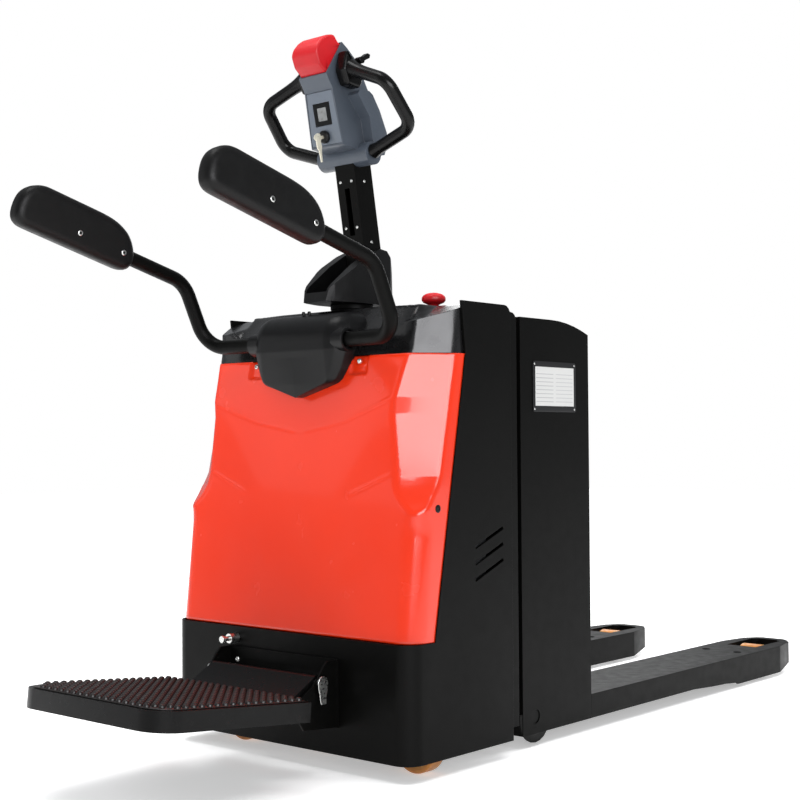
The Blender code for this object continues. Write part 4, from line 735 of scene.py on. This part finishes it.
cast_grey = coated(
    "cast_iron_paint", (0.050, 0.050, 0.052), 0.55, wander=(90.0, 0.48, 0.68), relief=(420.0, 0.0005, 0.6),
    metallic=0.3,
)
for node in ("slewing_ring", "gearbox", "drive_motor", "pump_motor", "pull_bar_left", "pull_bar_right"):
    repaint(node, cast_grey)
post_low, post_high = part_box("steering_post")
post_at = ((post_low.x + post_high.x) / 2, 0.0, post_high.z)
tall = post_high.z - post_low.z
profile = [
    (-tall, 0.0004), (-tall, 0.050), (-0.030, 0.050), (-0.028, 0.0485), (-0.012, 0.0485), (-0.010, 0.050),
    (-0.001, 0.050), (0, 0.049), (0, 0.0004),
]
post = turned_piece("steering_post_tube", profile, post_at, (0, 0, 1), powder_black, 56, 35)
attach(post, "steering")
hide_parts("steering_post")
eased_copy("steering_head", "steering", black_gloss, 0.0045, 3, 24)
eased_copy("tiller_arm", "tiller", powder_black, 0.0022, 3, 30)
repaint("tiller_pin", zinc_plate)
arm_half = 0.0303
for number, (across, height) in enumerate(
    ((-0.0175, 0.236), (0.0175, 0.236), (-0.0175, 0.128), (0.0175, 0.128))
):
    spot = on_tiller([(-arm_half, across, height)])[0]
    screw(f"tiller_screw_{number}", spot, tiller_way(-1, 0, 0), 0.0036, "tiller", zinc_plate, 0.0012, 0.42)
for hand, sign in (("right", -1), ("left", 1)):
    for number, height in enumerate((0.090, 0.232)):
        spot = on_tiller([(0.0, sign * arm_half, height)])[0]
        name = f"tiller_side_screw_{hand}_{number}"
        screw(name, spot, (0, sign, 0), 0.0036, "tiller", zinc_plate, 0.0012, 0.42)


# --- control head -------------------------------------
# A slate-grey moulded shell with a lighter face plate, a display, a key switch and a red reversing
# cushion on its slanted top. Two closed hand loops, dipped in black, run from boots beside the top.
slate = coated(
    "slate_moulding", (0.056, 0.070, 0.092), 0.32, wander=(50.0, 0.34, 0.46),
    relief=(1500.0, 0.00008, 0.5, "ShaderNodeTexVoronoi"),
    drift=(14.0, (0.054, 0.067, 0.088), (0.064, 0.078, 0.100)), Specular_IOR_Level=0.45, Coat_Weight=0.15,
    Coat_Roughness=0.15,
)
slate_light = coated(
    "slate_face", (0.125, 0.148, 0.182), 0.34, wander=(60.0, 0.28, 0.38),
    relief=(1700.0, 0.00006, 0.4, "ShaderNodeTexVoronoi"), Specular_IOR_Level=0.5,
)
eased_copy("head_shell", "tiller", slate, 0.0034, 3, 22)
eased_copy("head_fascia", "tiller", slate_light, 0.0012, 2, 35)
eased_copy("key_switch", "tiller", black_gloss, 0.0012, 2, 35)
key_ivory = coated("key_nickel", (0.80, 0.76, 0.62), 0.32, wander=(300.0, 0.26, 0.40), metallic=0.35)
eased_copy("key", "key", key_ivory, 0.0004, 2, 35)

glass, nodes, links, surface = shader("display_glass", (0.003, 0.0035, 0.004), 0.12, Specular_IOR_Level=0.12)
place = nodes.new("ShaderNodeTexCoord")
noise = nodes.new("ShaderNodeTexNoise")
noise.inputs["Scale"].default_value = 30.0
spread = nodes.new("ShaderNodeMapRange")
spread.inputs["To Min"].default_value = 0.05
spread.inputs["To Max"].default_value = 0.14
links.new(place.outputs["Object"], noise.inputs["Vector"])
links.new(noise.outputs["Fac"], spread.inputs["Value"])
links.new(spread.outputs["Result"], surface.inputs["Roughness"])
repaint("display", glass)
grey_pane = coated(
    "display_pane", (0.22, 0.23, 0.23), 0.30, wander=(80.0, 0.24, 0.36),
    drift=(60.0, (0.17, 0.175, 0.175), (0.27, 0.28, 0.28)),
)
face_run = np.array((-0.0065, 0.130)) / np.hypot(0.0065, 0.130)
face_out = np.array((-face_run[1], face_run[0]))
pane_mid = np.array((-0.079, 0.318)) + face_run * 0.0745 - face_out * 0.0006
pane_outline = [(-0.0135, -0.0150), (0.0135, -0.0150), (0.0135, 0.0150), (-0.0135, 0.0150)]


def on_face(spots):
    """From (across, up the face, out of the face) at the display's middle to the truck's frame."""
    flat = pane_mid + spots[:, 1:2] * face_run + spots[:, 2:] * face_out
    return on_tiller(np.stack([flat[:, 0], spots[:, 0], flat[:, 1]], -1))


pane = moulding("display_window", pane_outline, -0.0004, 0.0003, 0.0002, on_face, grey_pane, 48, 0)
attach(pane, "tiller")

cushion_outline = [
    (-0.0074, -0.0444), (0.0090, -0.0444), (0.0225, -0.0490), (0.0290, -0.0455), (0.0420, -0.0315),
    (0.0500, -0.0120), (0.0530, 0.0080), (0.0515, 0.0180), (0.0480, 0.0270), (0.0265, 0.0422),
    (0.0030, 0.0444), (-0.0074, 0.0444),
]
seat_low, seat_high = np.array((-0.099, 0.4795)), np.array((-0.034, 0.551))
seat_mid = (seat_low + seat_high) / 2
seat_run = (seat_high - seat_low) / np.linalg.norm(seat_high - seat_low)
seat_out = np.array((-seat_run[1], seat_run[0]))


def on_seat(spots):
    """From (out of the seat, down the seat, across) to the truck's frame."""
    flat = seat_mid + spots[:, :1] * seat_out - spots[:, 1:2] * seat_run
    return on_tiller(np.stack([flat[:, 0], spots[:, 2], flat[:, 1]], -1))


cushion = moulding(
    "reversing_cushion", cushion_outline, -0.0403, 0.0403, 0.0055, on_seat, button_red, 160, 5
)
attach(cushion, "reversing_button")
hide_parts("reversing_button")

grip_black = coated(
    "grip_dip", (0.0028, 0.0028, 0.0028), 0.26, wander=(45.0, 0.20, 0.30),
    relief=(1200.0, 0.00010, 0.4, "ShaderNodeTexVoronoi"), Specular_IOR_Level=0.20,
)
boot_outline = [
    (-0.072, 0.484), (-0.0665, 0.466), (-0.062, 0.450), (-0.044, 0.445), (-0.025, 0.441), (-0.014, 0.454),
    (-0.008, 0.468), (-0.014, 0.482), (-0.022, 0.497), (-0.037, 0.512), (-0.053, 0.527), (-0.064, 0.506),
]
for hand, sign in (("right", -1), ("left", 1)):
    corners = [
        (-0.040, sign * 0.052, 0.492), (-0.068, sign * 0.193, 0.438), (-0.008, sign * 0.201, 0.335),
        (-0.010, sign * 0.079, 0.2955),
    ]
    line = rounded_line(corners, (0.036, 0.036), 16)
    run = np.concatenate([[0], np.cumsum(np.linalg.norm(np.diff(line, axis=0), axis=1))])
    at = np.linspace(0, run[-1], 90)
    line = np.stack([np.interp(at, run, line[:, k]) for k in range(3)], -1)
    root, tail = np.exp(-((at / 0.036) ** 2)), np.exp(-(((run[-1] - at) / 0.010) ** 2))
    thick = 0.0150 + 0.0100 * root + 0.0028 * tail
    loop = swept("hand_loop_" + hand, on_tiller(line), thick, grip_black, 32)
    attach(loop, "tiller")
    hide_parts("handle_" + hand)

    def on_boot(spots, sign=sign):
        """From the boot's side view and its depth to the truck's frame."""
        return on_tiller(np.stack([spots[:, 0], sign * spots[:, 2], spots[:, 1]], -1))

    boot = moulding("loop_boot_" + hand, boot_outline, 0.0449, 0.0765, 0.0065, on_boot, grip_black, 120, 3)
    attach(boot, "tiller")
    eased_copy("thumb_lever_" + hand, "thumb_lever_" + hand, grip_black, 0.0016, 3, 35)


# --- folding platform ---------------------------------
# A pressed steel tray on a hinge barrel, with a rubber mat bonded on top, its round studs in a square
# grid. A keeper plate with a short tail holds the hinge pin outside the right ear, and a spring plunger
# latches the tray up.
mat_rubber = coated(
    "mat_rubber", (0.010, 0.0075, 0.0068), 0.38, wander=(120.0, 0.30, 0.48), relief=(900.0, 0.00025, 0.6),
    drift=(8.0, (0.007, 0.0055, 0.005), (0.014, 0.010, 0.009)), Specular_IOR_Level=0.5,
)
deck_gloss = coated(
    "deck_gloss", (0.0030, 0.0029, 0.0029), 0.30, wander=(55.0, 0.26, 0.36), relief=(500.0, 0.00010, 0.35),
    Specular_IOR_Level=0.14,
)
eased_copy("platform_deck", "platform", deck_gloss, 0.0020, 3, 40)
deck_tilt = math.radians(5.5)
hinge_at = (heel - 0.762, 0.0, 0.197)


def on_deck(spots):
    """From the tray's own frame, with x from the hinge and z up, to the truck's."""
    spots = np.asarray(spots, float).reshape(-1, 3)
    x = hinge_at[0] + math.cos(deck_tilt) * spots[:, 0] + math.sin(deck_tilt) * spots[:, 2]
    z = hinge_at[2] - math.sin(deck_tilt) * spots[:, 0] + math.cos(deck_tilt) * spots[:, 2]
    return np.stack([x, spots[:, 1], z], -1)


half, end, corner, top = 0.215, 0.463, 0.050, -0.0297
angles = np.radians(np.linspace(90, 180, 12))
near_corner = np.stack([-end + corner + corner * np.cos(angles), half - corner + corner * np.sin(angles)], -1)
edge_line = np.concatenate([[(-0.082, half)], near_corner, near_corner[::-1] * (1, -1), [(-0.082, -half)]])
base = moulding("platform_mat_sheet", edge_line, top, top + 0.0022, 0.0010, on_deck, mat_rubber, 160, 0)
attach(base, "platform")
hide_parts("platform_mat")
studs_x = np.linspace(-end + 0.011, -0.094, 19)
studs_y = np.linspace(-half + 0.011, half - 0.011, 21)
studs = np.stack(np.meshgrid(studs_x, studs_y), -1).reshape(-1, 2)
past = np.stack([-end + corner - studs[:, 0], np.abs(studs[:, 1]) - half + corner], -1)
studs = studs[np.hypot(*np.maximum(past, 0).T) < corner - 0.008]
dome = [(0.0070, 0.0), (0.0064, 0.0036), (0.0050, 0.0058), (0.0028, 0.0068), (0.00002, 0.0070)]
sides = 10
angles = np.linspace(0, 2 * np.pi, sides, endpoint=False)
ring = np.stack([np.cos(angles), np.sin(angles)], -1)
stud = np.concatenate([np.concatenate([ring * r, np.full((sides, 1), h)], -1) for r, h in dome])
points = studs[:, None, :] + stud[None, :, :2]
raised = np.broadcast_to(top + 0.0018 + stud[None, :, 2:], points.shape[:2] + (1,))
points = np.concatenate([points, raised], -1)
dome_faces = quads(len(dome), sides, close_columns=True)
faces = (dome_faces[None] + len(stud) * np.arange(len(studs))[:, None, None]).reshape(-1, 4)
bumps = surface_piece("platform_mat_studs", on_deck(points), faces, mat_rubber, 180, outward=False)
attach(bumps, "platform")

pin_low, pin_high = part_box("platform_pin")
pin_half = (pin_high.y - pin_low.y) / 2
pin_mid = (hinge_at[0], (pin_low.y + pin_high.y) / 2, hinge_at[2])
profile = [
    (-pin_half, 0.0004), (-pin_half, 0.0070), (-pin_half + 0.001, 0.0080), (pin_half - 0.001, 0.0080),
    (pin_half, 0.0070), (pin_half, 0.0004),
]
pin = turned_piece("hinge_pin", profile, pin_mid, (0, 1, 0), zinc_plate, 40, 40)
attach(pin, "chassis")
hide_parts("platform_pin")
keeper_outline = [
    (-0.0150, 0.001), (-0.0118, 0.0100), (-0.0045, 0.0148), (0.0045, 0.0148), (0.0118, 0.0100),
    (0.0150, 0.001), (0.0145, -0.009), (0.0115, -0.020), (0.0090, -0.031), (0.0100, -0.038),
    (0.0095, -0.044), (-0.0060, -0.044), (-0.0085, -0.037), (-0.0105, -0.022), (-0.0142, -0.010),
]


def on_ear(spots):
    """From the keeper's outline and its depth to the outside of the right ear."""
    return np.stack([hinge_at[0] + spots[:, 0], spots[:, 2], hinge_at[2] + spots[:, 1]], -1)


keeper = moulding(
    "pin_keeper", keeper_outline, pin_low.y - 0.0004, pin_low.y + 0.0026, 0.0011, on_ear, zinc_plate, 90, 2
)
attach(keeper, "chassis")
eased_copy("latch_body", "chassis", zinc_plate, 0.0010, 2, 35)
eased_copy("latch_pin", "latch_pin", zinc_plate, 0.0008, 2, 35)
screw("bracket_bolt", (skirt_front - 0.0065, 0.140, 0.211), (-1, 0, 0), 0.0062, "chassis", zinc_plate, 0.004)


# --- wheels -------------------------------------------
# The drive wheel, castors and load rollers have amber polyurethane treads bonded on cast or zinc hubs.
# The castors swivel in pressed zinc forks.
amber = coated(
    "amber_polyurethane", (0.44, 0.17, 0.025), 0.34, wander=(70.0, 0.28, 0.46), relief=(260.0, 0.0002, 0.4),
    drift=(25.0, (0.36, 0.13, 0.018), (0.50, 0.21, 0.035)), Subsurface_Weight=0.15, Specular_IOR_Level=0.45,
)


def tyre_piece(node, width, bore, radius, round_off):
    """A tread of that width and radius on its hub, in place of the CAD wheel that is its own body."""
    low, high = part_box(node)
    centre = (low + high) / 2
    thin = [abs(high.x - low.x), abs(high.y - low.y)]
    axis = (0, 1, 0) if thin[1] < thin[0] else (1, 0, 0)
    half = width / 2
    t = np.linspace(0, np.pi / 2, 6)
    rim = [(-half + round_off * (1 - np.sin(a)), radius - round_off * (1 - np.cos(a))) for a in t[::-1]]
    rim = rim + [(-a, r) for a, r in rim[::-1]]
    inner = radius * 0.72
    tread = [(-half + 0.002, inner)] + rim + [(half - 0.002, inner), (-half + 0.002, inner)]
    made = turned_piece(node + "_tread", tread, centre, axis, amber, 64, 40)
    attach(made, node)
    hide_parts(node)
    hub = [
        (-half + 0.001, bore), (-half + 0.001, inner * 0.52), (-half + 0.006, inner * 0.60),
        (-half + 0.006, inner * 0.86), (-half + 0.002, inner * 0.94), (-half + 0.002, inner + 0.0002),
    ]
    hub = hub + [(-a, r) for a, r in hub[::-1]] + [(-half + 0.001, bore)]
    core = turned_piece(node + "_hub", hub, centre, axis, zinc_plate, 48, 35)
    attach(core, node)


for hand in ("left", "right"):
    tyre_piece("castor_wheel_" + hand, 0.045, 0.0066, 0.055, 0.007)
    tyre_piece("load_roller_" + hand, 0.070, 0.0106, 0.042, 0.006)
    eased_copy("castor_fork_" + hand, "castor_" + hand, zinc_plate, 0.0008, 2, 35)
    eased_copy("roller_arm_" + hand, "roller_arm_" + hand, powder_black, 0.0010, 2, 35)
repaint("drive_hub", cast_grey)
eased_copy("drive_tyre", "drive_wheel", amber, 0.0015, 2, 30)


# --- battery box, rating plate and forks --------------
# The box is folded from 6 mm plate and closed by a curved lid. It is welded to two forks of inverted
# channel, and rises with them. A generic rating plate is riveted to its right side.
box_black = coated(
    "box_powder_black", (0.0022, 0.0022, 0.0020), 0.40, wander=(35.0, 0.36, 0.46),
    relief=(650.0, 0.00012, 0.4), drift=(4.0, (0.0018, 0.0018, 0.0016), (0.0026, 0.0026, 0.0023)),
    Specular_IOR_Level=0.07,
)
for node in ("battery_box", "battery_lid"):
    eased_copy(node, "carriage", box_black, 0.0018, 3, 25)
for node in ("fork_left", "fork_right"):
    eased_copy(node, "carriage", box_black, 0.0022, 3, 25)
for node in ("lift_bracket", "lift_link", "lift_cylinder"):
    repaint(node, powder_black)
repaint("lift_ram", zinc_plate)

plate_low, plate_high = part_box("data_plate")
wide, tall = (plate_high.x - plate_low.x) / 2, (plate_high.z - plate_low.z) / 2
middle_x, middle_z = (plate_low.x + plate_high.x) / 2, (plate_low.z + plate_high.z) / 2
plate_metal, nodes, links, surface = shader("rating_plate", (0.60, 0.60, 0.60), 0.35, Specular_IOR_Level=0.25)
place = speckle(nodes, links, surface, 260.0, 0.28, 0.42)
parts = nodes.new("ShaderNodeSeparateXYZ")
links.new(place.outputs["Object"], parts.inputs["Vector"])


def worked(operation, *values):
    """The result of a Math node on these values, each a number or another node's output."""
    node = nodes.new("ShaderNodeMath")
    node.operation = operation
    for socket, value in zip(node.inputs, values):
        if isinstance(value, float):
            socket.default_value = value
        else:
            links.new(value, socket)
    return node.outputs[0]


def between(value, low, high):
    """1 where a value lies between two others."""
    return worked("MULTIPLY", worked("GREATER_THAN", value, low), worked("LESS_THAN", value, high))


def layer(under, mask, tone):
    """A colour laid over another where the mask is 1."""
    mix = nodes.new("ShaderNodeMix")
    mix.data_type = "RGBA"
    mix.inputs[7].default_value = (*tone, 1)
    links.new(mask, mix.inputs[0])
    if isinstance(under, tuple):
        mix.inputs[6].default_value = (*under, 1)
    else:
        links.new(under, mix.inputs[6])
    return mix.outputs[2]


x_at, z_at = parts.outputs["X"], parts.outputs["Z"]
across_inner = between(x_at, middle_x - wide + 0.009, middle_x + wide - 0.009)
up_inner = between(z_at, middle_z - tall + 0.014, middle_z + tall - 0.013)
colour = layer((0.012, 0.012, 0.013), worked("MULTIPLY", across_inner, up_inner), (0.62, 0.62, 0.61))
line_pitch = 0.0092
in_line = between(worked("FRACT", worked("MULTIPLY", z_at, 1 / line_pitch)), 0.0, 0.18)
lines = worked("MULTIPLY", in_line, between(z_at, middle_z - 0.040, middle_z + 0.036))
left_half = between(x_at, middle_x - wide + 0.012, middle_x - 0.006)
right_half = between(x_at, middle_x + 0.004, middle_x + wide - 0.014)
colour = layer(colour, worked("MULTIPLY", lines, left_half), (0.40, 0.40, 0.41))
colour = layer(colour, worked("MULTIPLY", lines, right_half), (0.46, 0.46, 0.47))
links.new(colour, surface.inputs["Base Color"])
corner = 0.006
angles = np.radians(np.linspace(0, 90, 7))
quarter = np.stack([wide - corner + corner * np.cos(angles), tall - corner + corner * np.sin(angles)], -1)
outline = np.concatenate([quarter, quarter[::-1] * (-1, 1), quarter * (-1, -1), quarter[::-1] * (1, -1)])


def on_side(spots):
    """From the plate's face to the box's right side."""
    return np.stack([middle_x + spots[:, 0], spots[:, 2], middle_z + spots[:, 1]], -1)


label = moulding(
    "rating_plate_metal", outline, plate_low.y, plate_high.y, 0.0003, on_side, plate_metal, 160, 0
)
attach(label, "carriage")
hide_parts("data_plate")
for number, (a, b) in enumerate(((-1, -1), (-1, 1), (1, -1), (1, 1))):
    spot = (middle_x + a * (wide - 0.0065), plate_low.y + 0.0004, middle_z + b * (tall - 0.0065))
    screw(f"plate_rivet_{number}", spot, (0, -1, 0), 0.0024, "carriage", zinc_plate, 0.0010, 0.2)


# --- pieces inside the body ---------------------------
# The controller, the hydraulic tank and the battery stand on the deck plates, in moulded or painted cases.
case_grey = coated(
    "case_grey", (0.045, 0.050, 0.055), 0.50, wander=(60.0, 0.42, 0.58), relief=(800.0, 0.0002, 0.5),
)
for node in ("battery", "motor_controller", "hydraulic_tank"):
    repaint(node, case_grey)
repaint("stop_switch", black_gloss)
